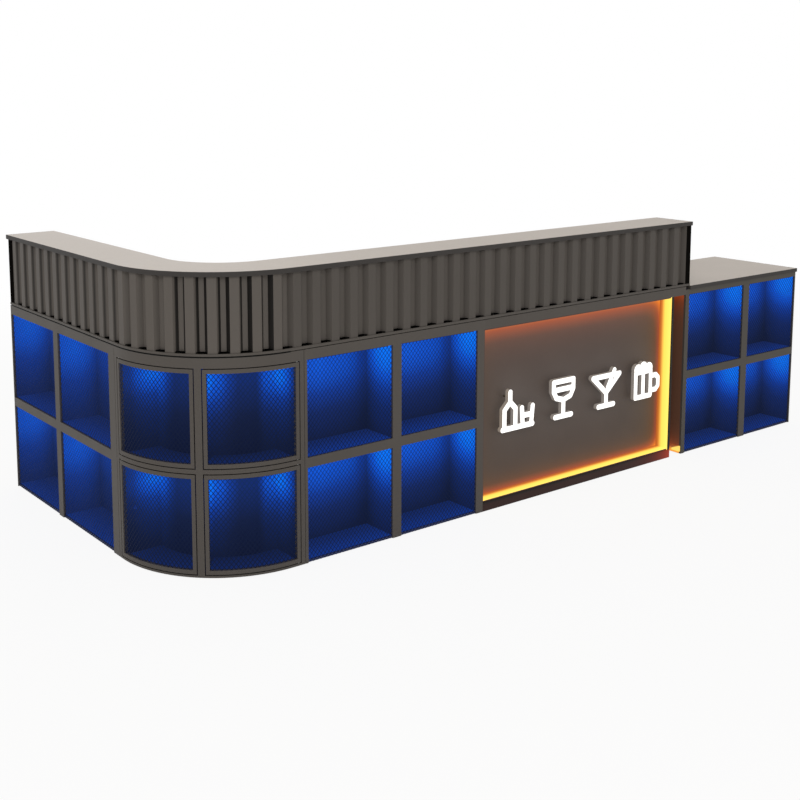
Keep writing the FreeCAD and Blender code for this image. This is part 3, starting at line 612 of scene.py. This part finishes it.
amber = {
    "lens": 0.006,         # thickness of the recess's lit lining
    "front": 0.004,        # face to the lining's front
    "back": 0.070,         # face to the sign board
    "glow": (
        # emission from the sign board, at 0, to the lining's front
        (0.00, (0.29, 0.062, 0.013, 1.0)),
        (0.15, (0.46, 0.120, 0.019, 1.0)),
        (0.25, (0.62, 0.23, 0.032, 1.0)),
        (0.36, (0.90, 0.48, 0.075, 1.0)),
        (0.50, (1.15, 0.80, 0.120, 1.0)),
        (1.00, (1.25, 0.92, 0.170, 1.0))),
    "edgeDark": (0.018, 0.004, 0.001, 1.0),
    # the niche's plate glows in a painted wedge
    "plateLength": 0.060,  # the niche's plate
    "plateHeight": 0.030,
    "plateSlope": 0.85,
    "plateSteep": 6.0,
    "plateDark": (0.20, 0.040, 0.008, 1.0),
    "plateLit": (1.0, 0.70, 0.130, 1.0),
}


def amberFinish(name):
    # the sign recess's lit lining, and the plate at the niche's foot, whose glow is painted in a
    # wedge
    # for the patch of light that falls there: only the inner faces and the right one's edge are
    # bright
    finish = Finish(name)
    x, y, z = finish.split(finish.place)
    toFront = (-finish.facing()[1]).over(0.5)
    rightEdge = x.over(signRoom["right"] - amber["lens"] - slack)
    bright = 1 - toFront * (1 - rightEdge)
    depth = y - frontFace - amber["front"]
    glow = finish.ramp(1 - depth / (amber["back"] - amber["front"]), amber["glow"])
    nearFront = 1 - depth / amber["plateLength"]
    height = (z - lining["floors"][0]) / amber["plateHeight"]
    wedge = nearFront * amber["plateSlope"] + (1 - amber["plateSlope"]) - height
    lit = (wedge * amber["plateSteep"] + 0.5).within()
    plate = finish.mix(lit, amber["plateDark"], amber["plateLit"])
    glow = finish.mix(x.over(signRoom["right"] + slack), glow, plate)
    cover = finish.mix(toFront, tone(120, 74, 30), tone(52, 34, 26))
    return finish.surface(cover, 0.4, glow=finish.mix(bright, amber["edgeDark"], glow))


def emblemMiddles():
    # the middles of the emblems along the sign
    widths = [[point[0] for point in solid] for solid in solidsOf("sign_emblems")]
    return sorted((min(width) + max(width)) / 2 for width in widths)


sign = {
    "board": (tone(74, 64, 59), tone(84, 73, 67)),
    "wash": (
        # reach in metres and strength of the painted amber light from each side of the recess
        ("top", 0.055, 0.66),
        ("bottom", 0.028, 0.46),
        ("right", 0.030, 0.38),
        ("left", 0.018, 0.62)),
    "glow": (
        (0.00, black),
        (0.15, (0.050, 0.010, 0.004, 1.0)),
        (0.40, (0.300, 0.045, 0.010, 1.0)),
        (0.70, (0.800, 0.180, 0.012, 1.0)),
        (1.00, (1.000, 0.500, 0.030, 1.0))),
    "halo": (1.0, 0.94, 0.88, 1.0),
    "haloWidth": 0.130,    # reach of the painted pale light round an emblem
    "haloHeight": 0.135,
    "haloShare": 0.030,
}


def signBoardFinish(name):
    # grey-brown board, with painted amber light along its edges and painted pale light round the
    # emblems
    finish = Finish(name)
    x, y, z = finish.split(finish.place)
    board = finish.mix(finish.noise(7.0, 4.0), *sign["board"])
    distance = {"top": signRoom["top"] - z, "bottom": z - signRoom["bottom"],
                "right": signRoom["right"] - x, "left": x - signRoom["left"]}
    paintedAmberLight = 0.0
    for side, reach, share in sign["wash"]:
        paintedAmberLight = paintedAmberLight + ((distance[side] - amber["lens"]).most(0.0) / reach).fade() * share
    halo = 0.0
    middleHeight = (emblemBox[0].z + emblemBox[1].z) / 2
    for middle in emblemMiddles():
        across, up = (x - middle) / sign["haloWidth"], (z - middleHeight) / sign["haloHeight"]
        halo = halo + (across * across + up * up).fade()
    glow = finish.ramp(paintedAmberLight, sign["glow"])
    glow = finish.mix(halo * sign["haloShare"], glow, sign["halo"], "ADD")
    normal = finish.bump(finish.noise(500.0), 0.1, 0.0003)
    return finish.surface(board, 0.55, normal, 0.3, glow)


signFrame = {
    "stain": tone(52, 26, 20),
    "stainDark": tone(36, 18, 14),
    "fin": tone(26, 19, 15),
    "shadow": 0.013,       # painted shadow line under the lit lower edge
    "shadowLight": 0.04,
    "endGlow": (0.40, 0.030, 0.006, 1.0),
    "endReach": 0.07,      # how far the painted light from the niche reaches along the sill's right end
}


def signFrameFinish(name):
    # the top rail is painted like the other frames, the sill and the fin are stained dark; the sill
    # gets a painted shadow line under the lit lower edge and painted light from the niche at its
    # right end
    finish = Finish(name)
    x, y, z = finish.split(finish.place)
    paint, roughness, normal = coatNodes(finish, coat["colour"], coat["edgeHighlight"])
    sill = finish.mix(finish.noise(20.0, 4.0, (0.15, 1.0, 1.0)), signFrame["stainDark"],
                      signFrame["stain"])
    # painted shadow line under the lit lower edge
    line = ((signRoom["bottom"] - z) / signFrame["shadow"]).within()
    sill = finish.shaded(sill, signFrame["shadowLight"] + (1 - signFrame["shadowLight"]) * line)
    stained = finish.mix(x.over(signRoom["right"]) * z.over(signRoom["bottom"]), sill,
                         signFrame["fin"])
    shade = finish.mix(z.over(signRoom["top"] - slack), stained, paint)
    # painted light from the niche on the sill's right end
    end = ((signRoom["right"] - x) / signFrame["endReach"]).most(0.0).fade()
    end = end * (1 - z.over(signRoom["bottom"]))
    glow = finish.mix(end, black, signFrame["endGlow"])
    return finish.surface(shade, roughness, normal, 0.22, glow, 0.7)


niche = {
    "stain": (tone(76, 52, 40), tone(88, 62, 47)),
    "lamp": 0.014,         # height of its lamp, and how far its painted light reaches up the boards
    "lampReach": 0.030,
    "topReach": 0.050,     # the painted light from above
    "topShare": 0.62,
    "base": 0.02,
    "glow": (
        (0.00, (0.025, 0.014, 0.009, 1.0)),
        (0.30, (0.122, 0.021, 0.005, 1.0)),
        (0.60, (0.280, 0.042, 0.009, 1.0)),
        (1.00, (1.000, 0.400, 0.040, 1.0))),
    "film": 0.0006,        # thickness of the facing
    "floor": 0.004,        # the niche has no floor board of its own
    "frameDepth": 0.0104,
    "fin": 0.012,          # thickness of the upright beside it
    "finDepth": 0.082,     # face to that upright's back
}


def nicheFinish(name):
    # brown stained board, with painted amber light from a lamp near the floor and from above
    finish = Finish(name)
    z = finish.split(finish.place)[2]
    stain = finish.mix(finish.noise(16.0, 4.0, (1.0, 1.0, 0.15)), *niche["stain"])
    low = ((z - niche["lamp"]).most(0.0) / niche["lampReach"]).fade()
    high = ((signRoom["top"] - z).most(0.0) / niche["topReach"]).fade()
    glow = finish.ramp(low.most(high * niche["topShare"]) + niche["base"], niche["glow"])
    grain = finish.bump(finish.noise(60.0, 4.0, (1.0, 1.0, 0.1)), 0.1, 0.0004)
    return finish.surface(stain, 0.45, grain, 0.3, glow, 0.9)


emblem = {
    "toFront": (0.60, 0.90),    # how squarely a face looks forward, unlit and lit
    "legs": 0.0235,        # length of the dark legs behind it
    "round": 0.0022,
    "segments": 3,
    "weld": 0.00002,
    "flat": 0.6,           # degrees between facets that are one face
}


def emblemFinish(name):
    # white acrylic: the front lit evenly, the returns grey
    finish = Finish(name)
    unlit, lit = emblem["toFront"]
    toFront = ((-finish.facing()[1] - unlit) / (lit - unlit)).within()
    onLeg = finish.split(finish.place)[1].over(emblemBox[1].y - emblem["legs"])
    glow = finish.mix(toFront, (0.14, 0.125, 0.115, 1.0), (0.98, 0.97, 0.95, 1.0))
    glow = finish.mix(onLeg, glow, black)
    skin = finish.mix(toFront, tone(104, 98, 92), tone(222, 220, 216))
    skin = finish.mix(onLeg, skin, tone(40, 35, 32))
    skin = finish.mix(finish.noise(30.0, 3.0) * 0.2, skin, tone(190, 186, 180))
    return finish.surface(skin, 0.35, glow=glow, strength=0.95)


finishes = {
    "dark_frame_paint": paintFinish("framePaint"),
    "riser_paint": foldedFinish("riserPaint"),
    "expanded_mesh": meshFinish("meshSteel"),
    "display_board": boardFinish("displayBoard", tone(14, 26, 70), tone(20, 38, 92), 0.45),
    "lit_back": boardFinish("litBack", tone(20, 60, 170), tone(30, 80, 200), 0.4),
    "channel_metal": metalFinish("channelAluminium", tone(26, 48, 112), tone(36, 64, 140), 0.4,
                                 (0.05, 0.05, 1.0)),
    "diffuser_white": lampFinish("cubbyLamp", tone(16, 90, 255), tone(40, 120, 255), 1.2, 0.4),
    "sign_diffuser": amberFinish("amberLamp"),
    "led_tape": lampFinish("lightTape", (1.0, 0.6, 0.2, 1.0), (1.0, 0.7, 0.3, 1.0), 4.0),
    "sign_board": signBoardFinish("signBoard"),
    "niche_board": nicheFinish("nicheBoard"),
    "emblem_white": emblemFinish("emblemAcrylic"),
    "top_laminate": laminateFinish("topLaminate"),
    "edge_band": paintFinish("edgeBand", tone(60, 57, 55), tone(90, 85, 80), 0.16),
    "carcass_board": boardFinish("carcassBoard", tone(88, 81, 74), tone(108, 100, 91), 0.42,
                                 (0.12, 0.12, 1.0)),
    "knob_metal": metalFinish("knobSteel", tone(150, 147, 142), tone(196, 193, 188), 0.24,
                              (1.0, 0.1, 1.0)),
    "zinc_steel": metalFinish("zincSteel", tone(150, 152, 150), tone(188, 190, 186), 0.34,
                              (1.0, 1.0, 0.2)),
    "black_plastic": mouldedFinish("blackPlastic", tone(24, 24, 25), tone(38, 38, 38), 0.45),
    "driver_case": mouldedFinish("driverCase", tone(196, 196, 192), tone(214, 213, 208), 0.4),
}
ownFinishes = {
    "sign_bay_frame": signFrameFinish("signFrameStain"),
    "riser_box_panels": boxFinish("riserBox"),
    "riser_frame": finishes["dark_frame_paint"],
    "joining_bolts": boltFinish("boltCaps"),
    # a darker copy of the frame paint on the right module, painted shade for the light that falls
    # off there
    "right_frame": paintFinish("rightFrameShadedPaint", tone(73, 69, 63), tone(98, 92, 86)),
}
for part in frame["record"]["subparts"]:
    for holder in nodes[part["node"]].material_slots:
        holder.material = ownFinishes.get(part["node"], finishes[part["material_slot"]])
print("finishes on", len(nodes), "nodes")


def addObject(name, data):
    made = bpy.data.objects.new(name, data)
    bpy.context.scene.collection.objects.link(made)
    return made


def makePiece(name, points, faces, finish, body="counter"):
    mesh = bpy.data.meshes.new(name)
    mesh.from_pydata(points, [], faces)
    mesh.validate()
    faceOutward(mesh)
    mesh.materials.append(finish)
    return placePiece(name, mesh, body)


def faceOutward(mesh):
    shape = bmesh.new()
    shape.from_mesh(mesh)
    bmesh.ops.recalc_face_normals(shape, faces=shape.faces)
    shape.to_mesh(mesh)
    shape.free()


def placePiece(name, mesh, body):
    piece = addObject(name, mesh)
    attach(piece, body)
    return piece


def roundEdges(piece, width, segments, angle=35.0):
    edges = piece.modifiers.new("roundedEdges", "BEVEL")
    edges.width = width
    edges.segments = segments
    edges.limit_method = "ANGLE"
    edges.angle_limit = math.radians(angle)
    edges.use_clamp_overlap = True


def addTube(points, faces, rings):
    # a closed solid through rings of equally many points
    first, size = len(points), len(rings[0])
    for ring in rings:
        points += ring
    last = len(points) - size
    for base in range(first, last, size):
        for n in range(size):
            m = (n + 1) % size
            faces.append((base + n, base + m, base + size + m, base + size + n))
    faces.append(tuple(first + n for n in reversed(range(size))))
    faces.append(tuple(last + n for n in range(size)))


meshCell = {
    "width": 0.0175,       # one diamond, middle of strand to middle of strand
    "height": 0.0215,
    "strand": 0.0017,      # seen width of a strand
    "doorStrand": 0.0026,  # the corner doors have a heavier mesh
    "sheet": 0.0006,       # metal thickness
    "twist": 0.0003,       # how far a strand's edges lean out of the sheet
}


def clipped(outline, axis, limit, side):
    # the part of a flat outline on one side of a limit
    kept = []
    for here, there in zip(outline, outline[1:] + outline[:1]):
        a, b = side * (limit - here[axis]), side * (limit - there[axis])
        if a >= 0:
            kept.append(here)
        if a * b < 0:
            share = a / (a - b)
            kept.append(tuple(p + share * (q - p) for p, q in zip(here, there)))
    return kept


def cellStrands(along, height, width):
    # the four strand halves round one opening, as (along, height, deep) corners
    a, b = meshCell["width"] / 2, meshCell["height"] / 2
    inner = 1 - width / 2 * math.hypot(a, b) / (a * b)
    lean = meshCell["twist"]
    turns = ((0, 1, -lean), (1, 0, 0.0), (0, -1, lean), (-1, 0, 0.0))
    outer = [(along + a * u, height + b * v, 0.0) for u, v, w in turns]
    hole = [(along + a * u * inner, height + b * v * inner, w) for u, v, w in turns]
    for n in range(4):
        m = (n + 1) % 4
        yield [outer[n], outer[m], hole[m], hole[n]]


def screenSheet(panels, width):
    # one layer of strands over several openings, as points and faces
    points, faces, known = [], [], {}
    for (s0, s1), (d0, d1), (z0, z1) in panels:
        columns = math.ceil((s1 - s0) / meshCell["width"]) + 1
        levels = math.ceil((z1 - z0) / meshCell["height"]) + 1
        for row in range(2 * levels):
            shift = 0.5 * (row % 2)
            for column in range(columns):
                along = s0 + (column + shift) * meshCell["width"]
                height = z0 + row * meshCell["height"] / 2
                for strand in cellStrands(along, height, width):
                    for axis, limit, side in ((0, s0, -1), (0, s1, 1), (1, z0, -1), (1, z1, 1)):
                        strand = clipped(strand, axis, limit, side) if strand else strand
                    if len(strand) < 3:
                        continue
                    corners = []
                    for p in strand:
                        key = tuple(round(part, 6) for part in p)
                        if key not in known:
                            known[key] = len(points)
                            points.append(onFace(p[0], (d0 + d1) / 2 + p[2], p[1]))
                        if known[key] not in corners:
                            corners.append(known[key])
                    if len(corners) > 2:
                        faces.append(corners)
    return points, faces


def makeScreen(name, panels, replaced, body, width):
    points, faces = screenSheet(panels, width)
    screen = makePiece(name, points, faces, finishes["expanded_mesh"], body)
    plate = screen.modifiers.new("sheet", "SOLIDIFY")
    plate.thickness = meshCell["sheet"]
    plate.offset = 0.0
    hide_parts(replaced)
    return len(faces)


cornerPast = {"wing": 0.03, "front": 0.06}    # how far the corner's parts may reach past its arc


def moduleOf(ranges):
    # the module that a cubby's part stands in
    low, high = ranges[0]
    if low < -cornerPast["wing"]:
        return "wing"
    if high < arcLength + cornerPast["front"]:
        return "corner"
    return "front" if onFace((low + high) / 2, 0, 0).x < rightLimit else "right"


def byModule(node):
    modules = {"wing": [], "corner": [], "front": [], "right": []}
    for solid in solidsOf(node):
        ranges = faceRanges(solid)
        modules[moduleOf(ranges)].append(ranges)
    return modules


strands = 0
for module, panels in byModule("display_mesh_panels").items():
    if panels:
        strands += makeScreen(module + "_mesh_screen", panels, "display_mesh_panels", "counter",
                              meshCell["strand"])
for level in ("lower", "upper"):
    for side in ("left", "right"):
        node = f"corner_door_mesh_{level}_{side}"
        window = [faceRanges(solid) for solid in solidsOf(node)]
        strands += makeScreen(f"corner_mesh_screen_{level}_{side}", window, node,
                              f"corner_door_{level}_{side}", meshCell["doorStrand"])
print("mesh screens with", strands, "strand faces")


def addSlab(points, faces, room, s, d, z, sideLight=1.0):
    # a closed slab that follows the face, its points paired with their place in the cubby
    count = max(1, math.ceil((s[1] - s[0]) / lining["step"]))
    rings = []
    for number in range(count + 1):
        along = s[0] + (s[1] - s[0]) * number / count
        ring = []
        for deep, height in ((d[0], z[0]), (d[1], z[0]), (d[1], z[1]), (d[0], z[1])):
            spot = [(value - low) / (high - low) for value, (low, high) in
                    zip((along, deep, height), room)]
            ring.append((onFace(along, deep, height), spot, sideLight))
        rings.append(ring)
    addTube(points, faces, rings)


def lineCubby(points, faces, lens, rounded):
    # back, sides, floor and ceiling of one cubby, from its lamp's ranges
    (s0, s1), (d0, d1), (z0, z1) = lens
    s0, s1 = s0 - lining["endGap"], s1 + lining["endGap"]
    ceiling = z1 + lining["channelWall"]
    floor = max(level for level in lining["floors"] if level < z0)
    front = lining["roundFront"] if rounded else lining["flatFront"]
    back, film = cubbyBack, lining["film"]
    room = ((s0, s1), (front, back), (floor, ceiling))
    addSlab(points, faces, room, (s0, s1), (back - film, back), (floor, ceiling))
    inside = (front, back - film)
    dim = lining["dimSide"] if rounded and s0 < 0 else 1.0
    addSlab(points, faces, room, (s0, s0 + film), inside, (floor + film, ceiling), dim)
    addSlab(points, faces, room, (s1 - film, s1), inside, (floor + film, ceiling))
    addSlab(points, faces, room, (s0, s1), inside, (floor, floor + film))
    behindLamp = (d1 + lining["channelWall"], back - film)
    addSlab(points, faces, room, (s0 + film, s1 - film), behindLamp, (ceiling - film, ceiling))


def lineCubbies():
    glows = {kind: cubbyGlow(kind + "CubbyGlow", light) for kind, light in cubbyLight.items()}
    for module, lenses in byModule("cubby_led_diffusers").items():
        glowing = glows.get(module, glows["straight"])
        points, faces = [], []
        for lens in lenses:
            lineCubby(points, faces, lens, module == "corner")
        piece = makePiece(module + "_cubby_lining", [point for point, spot, light in points], faces,
                          glowing)
        spots = piece.data.attributes.new("cubbyPlace", "FLOAT_VECTOR", "POINT")
        spots.data.foreach_set("vector", [part for point, spot, light in points for part in spot])
        lights = piece.data.attributes.new("sideLight", "FLOAT", "POINT")
        lights.data.foreach_set("value", [light for point, spot, light in points])
        print("lined", len(lenses), "cubbies of the", module)


lineCubbies()


def lineNiche():
    # stained facing on the niche's back and both sides
    left = signRoom["right"] + niche["fin"]
    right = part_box("niche_panel")[1].x
    film = niche["film"]
    walls = (
        ((left, right), (cubbyBack - film, cubbyBack)),
        ((right - film, right), (niche["frameDepth"], cubbyBack - film)),
        ((left, left + film), (niche["finDepth"], cubbyBack - film)),
    )
    points, faces = [], []
    for (x0, x1), (d0, d1) in walls:
        outline = ((x0, d0), (x1, d0), (x1, d1), (x0, d1))
        addTube(points, faces, [[(x, frontFace + d, z) for x, d in outline]
                                for z in (niche["floor"], signRoom["top"])])
    makePiece("niche_lining", points, faces, finishes["niche_board"])
    print("lined the niche")


lineNiche()


closure = {
    "height": 0.0045,      # black foam at the foot of each recess of the riser, which also stands for the shadow there
    "setback": 0.0075,     # face to its front
    "clear": 0.0003,
    "slope": 0.65,         # run of the sheet's slanted sides for each unit of depth
    "round": 0.0008,
    "near": 0.0005,        # points this near the floors' depth lie on one
    "apart": 0.04,         # least room between floors
    "narrow": 0.01,        # what is narrower is no floor
}


def recessFloors():
    # where the folded sheets' recesses lie along the face
    spots = set()
    for part in ("wing", "corner", "front"):
        for vertex in nodes["riser_cladding_" + part].data.vertices:
            along, deep = placeOnFace(vertex.co)[:2]
            if abs(deep - fold["floor"]) < closure["near"]:
                spots.add(round(along, 4))
    floors = []
    for spot in sorted(spots):
        if floors and spot - floors[-1][-1] < closure["apart"]:
            floors[-1].append(spot)
        else:
            floors.append([spot])
    return [(floor[0], floor[-1]) for floor in floors if floor[-1] - floor[0] > closure["narrow"]]


def makeClosures():
    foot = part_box("riser_cladding_front")[0].z
    front, floor, clear = closure["setback"], fold["floor"], closure["clear"]
    spread = (floor - front) * closure["slope"] - 2 * clear
    floors = recessFloors()
    points, faces = [], []
    for s0, s1 in floors:
        outline = ((s0 - spread, front), (s1 + spread, front),
                   (s1 - clear, floor - clear), (s0 + clear, floor - clear))
        addTube(points, faces, [[onFace(s, d, z) for s, d in outline]
                                for z in (foot, foot + closure["height"])])
    # black foam, which also stands for the shadow at the foot of each recess
    foam = mouldedFinish("closureFoam", tone(3, 3, 3), tone(6, 6, 6), 0.8, 0.0)
    piece = makePiece("riser_closure_strips", points, faces, foam)
    roundEdges(piece, closure["round"], 2)
    print("closed", len(floors), "recesses")


makeClosures()


def roundEmblems():
    # the emblems with softened edges, from their own solids
    mesh = nodes["sign_emblems"].data.copy()
    mesh.name = "sign_emblems_rounded"
    shape = bmesh.new()
    shape.from_mesh(mesh)
    bmesh.ops.remove_doubles(shape, verts=shape.verts, dist=emblem["weld"])
    bmesh.ops.dissolve_limit(shape, angle_limit=math.radians(emblem["flat"]),
                             verts=shape.verts, edges=shape.edges)
    bmesh.ops.recalc_face_normals(shape, faces=shape.faces)
    shape.to_mesh(mesh)
    shape.free()
    mesh.materials.clear()
    mesh.materials.append(finishes["emblem_white"])
    piece = placePiece("sign_emblems_rounded", mesh, "counter")
    roundEdges(piece, emblem["round"], emblem["segments"])
    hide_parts("sign_emblems")
    print("rounded the emblems")


roundEmblems()


knobTurning = {
    "sides": 48,
    "profile": (           # radius and reach from the door, in metres
        (0.0070, 0.0000), (0.0070, 0.0105), (0.0082, 0.0140), (0.0128, 0.0160), (0.0148, 0.0185),
        (0.0150, 0.0215), (0.0140, 0.0242), (0.0118, 0.0256), (0.0060, 0.0260)),
    "round": 0.0003,
    "roundFrom": 60.0,     # degrees between the facets that are rounded
}


def turnKnob(node, body):
    low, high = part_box(node)
    middleX, middleZ = (low.x + high.x) / 2, (low.z + high.z) / 2
    turns = [2 * math.pi * n / knobTurning["sides"] for n in range(knobTurning["sides"])]
    rings = []
    for radius, reach in knobTurning["profile"]:
        rings.append([(middleX + radius * math.cos(turn), low.y + reach,
                       middleZ + radius * math.sin(turn)) for turn in turns])
    points, faces = [], []
    addTube(points, faces, rings)
    piece = makePiece(node + "_turned", points, faces, finishes["knob_metal"], body)
    for face in piece.data.polygons:
        face.use_smooth = len(face.vertices) == 4
    roundEdges(piece, knobTurning["round"], 2, knobTurning["roundFrom"])
    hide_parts(node)


for side in ("left", "right"):
    turnKnob("cupboard_knob_" + side, "cupboard_door_" + side)
for level in ("lower", "upper"):
    turnKnob("drawer_knob_" + level, "drawer_" + level)
print("turned the knobs")


studio = {
    "floorSize": 60.0,
    "floorColours": ((0.82, 0.81, 0.80, 1.0), (0.84, 0.83, 0.82, 1.0)),
    "floorSeen": 0.90,     # share of plain white that the camera sees beside the object
    "fadeStart": 2.0,      # from here to fadeEnd metres away the floor turns plain white
    "fadeEnd": 5.0,
    "worldColour": (1.0, 0.985, 0.965, 1.0),
    "worldLight": 0.64,
    "aim": (0.0, 0.0, 0.5),
    "key": {"place": (-5.0, -5.5, 4.2), "size": 3.6, "power": 150.0},
    "fill": {"place": (3.5, -6.5, 3.2), "size": 4.0, "power": 28.0},
    "back": {"place": (1.5, 6.5, 4.0), "size": 4.0, "power": 60.0},
}


def seenDirectly(finish):
    # 1 where the camera, a mirror or glass sees the surface, 0 where it only lights others
    kinds = ("Is Camera Ray", "Is Glossy Ray", "Is Transmission Ray")
    rays = [finish.node("ShaderNodeLightPath", out=kind) for kind in kinds]
    return (rays[0] + rays[1] + rays[2]).least(1.0)


def floorFinish(name):
    # pale floor that keeps a soft shadow beside the object and is plain white further off
    finish = Finish(name)
    x, y = finish.split(finish.place)[:2]
    awayX = (x.size() - cadBox[1][0]).most(0.0)
    awayY = (y.size() - cadBox[1][1]).most(0.0)
    away = (awayX * awayX + awayY * awayY) ** 0.5
    reach = studio["fadeEnd"] - studio["fadeStart"]
    far = ((away - studio["fadeStart"]) / reach).within()
    plain = seenDirectly(finish) * (studio["floorSeen"] + (1 - studio["floorSeen"]) * far)
    pale = finish.mix(finish.noise(2.0), *studio["floorColours"])
    matt = finish.node("ShaderNodeBsdfDiffuse", None, {"Color": pale})
    bright = finish.node("ShaderNodeEmission", None, {"Color": white, "Strength": 1.0})
    finish.show(finish.node("ShaderNodeMixShader", None, (plain, matt, bright)))
    return finish.material


def makeFloor():
    half = studio["floorSize"] / 2
    mesh = bpy.data.meshes.new("floor")
    mesh.from_pydata([(-half, -half, 0), (half, -half, 0), (half, half, 0), (-half, half, 0)], [],
                     [(0, 1, 2, 3)])
    mesh.materials.append(floorFinish("paleFloor"))
    addObject("floor", mesh)


def makeLight(name):
    lamp = bpy.data.lights.new(name, "AREA")
    lamp.shape = "SQUARE"
    lamp.size = studio[name]["size"]
    lamp.energy = studio[name]["power"]
    holder = addObject(name, lamp)
    place = Vector(studio[name]["place"])
    holder.location = place
    holder.rotation_euler = (Vector(studio["aim"]) - place).to_track_quat("-Z", "Y").to_euler()


def makeWorld():
    world = bpy.data.worlds.new("studio")
    bpy.context.scene.world = world
    sky = Finish("studio", world)
    light = sky.node("ShaderNodeBackground", None,
                     {"Color": studio["worldColour"], "Strength": studio["worldLight"]})
    bright = sky.node("ShaderNodeBackground", None, {"Color": white, "Strength": 1.0})
    blend = sky.node("ShaderNodeMixShader", None, (seenDirectly(sky), light, bright))
    sky.show(blend, "ShaderNodeOutputWorld")


viewpoint = {
    "place": (-3.720881, -4.370766, 1.814636),
    "turn": 37.787,        # degrees from +Y towards +X
    "tilt": 7.789,         # degrees down
    "lens": 54.95,
    "sensor": 36.0,
    "shift": (0.02307, -0.19777),
}


def makeCamera():
    camera = bpy.data.cameras.new("viewpoint")
    camera.lens = viewpoint["lens"]
    camera.sensor_width = viewpoint["sensor"]
    camera.shift_x, camera.shift_y = viewpoint["shift"]
    camera.clip_end = 100.0
    holder = addObject("viewpoint", camera)
    holder.location = viewpoint["place"]
    holder.rotation_euler = (math.radians(90 - viewpoint["tilt"]), 0.0,
                             -math.radians(viewpoint["turn"]))
    bpy.context.scene.camera = holder


makeFloor()
makeWorld()
for name in ("key", "fill", "back"):
    makeLight(name)
makeCamera()
bpy.context.scene.view_settings.view_transform = "Standard"
print("floor, lights and camera are in place")
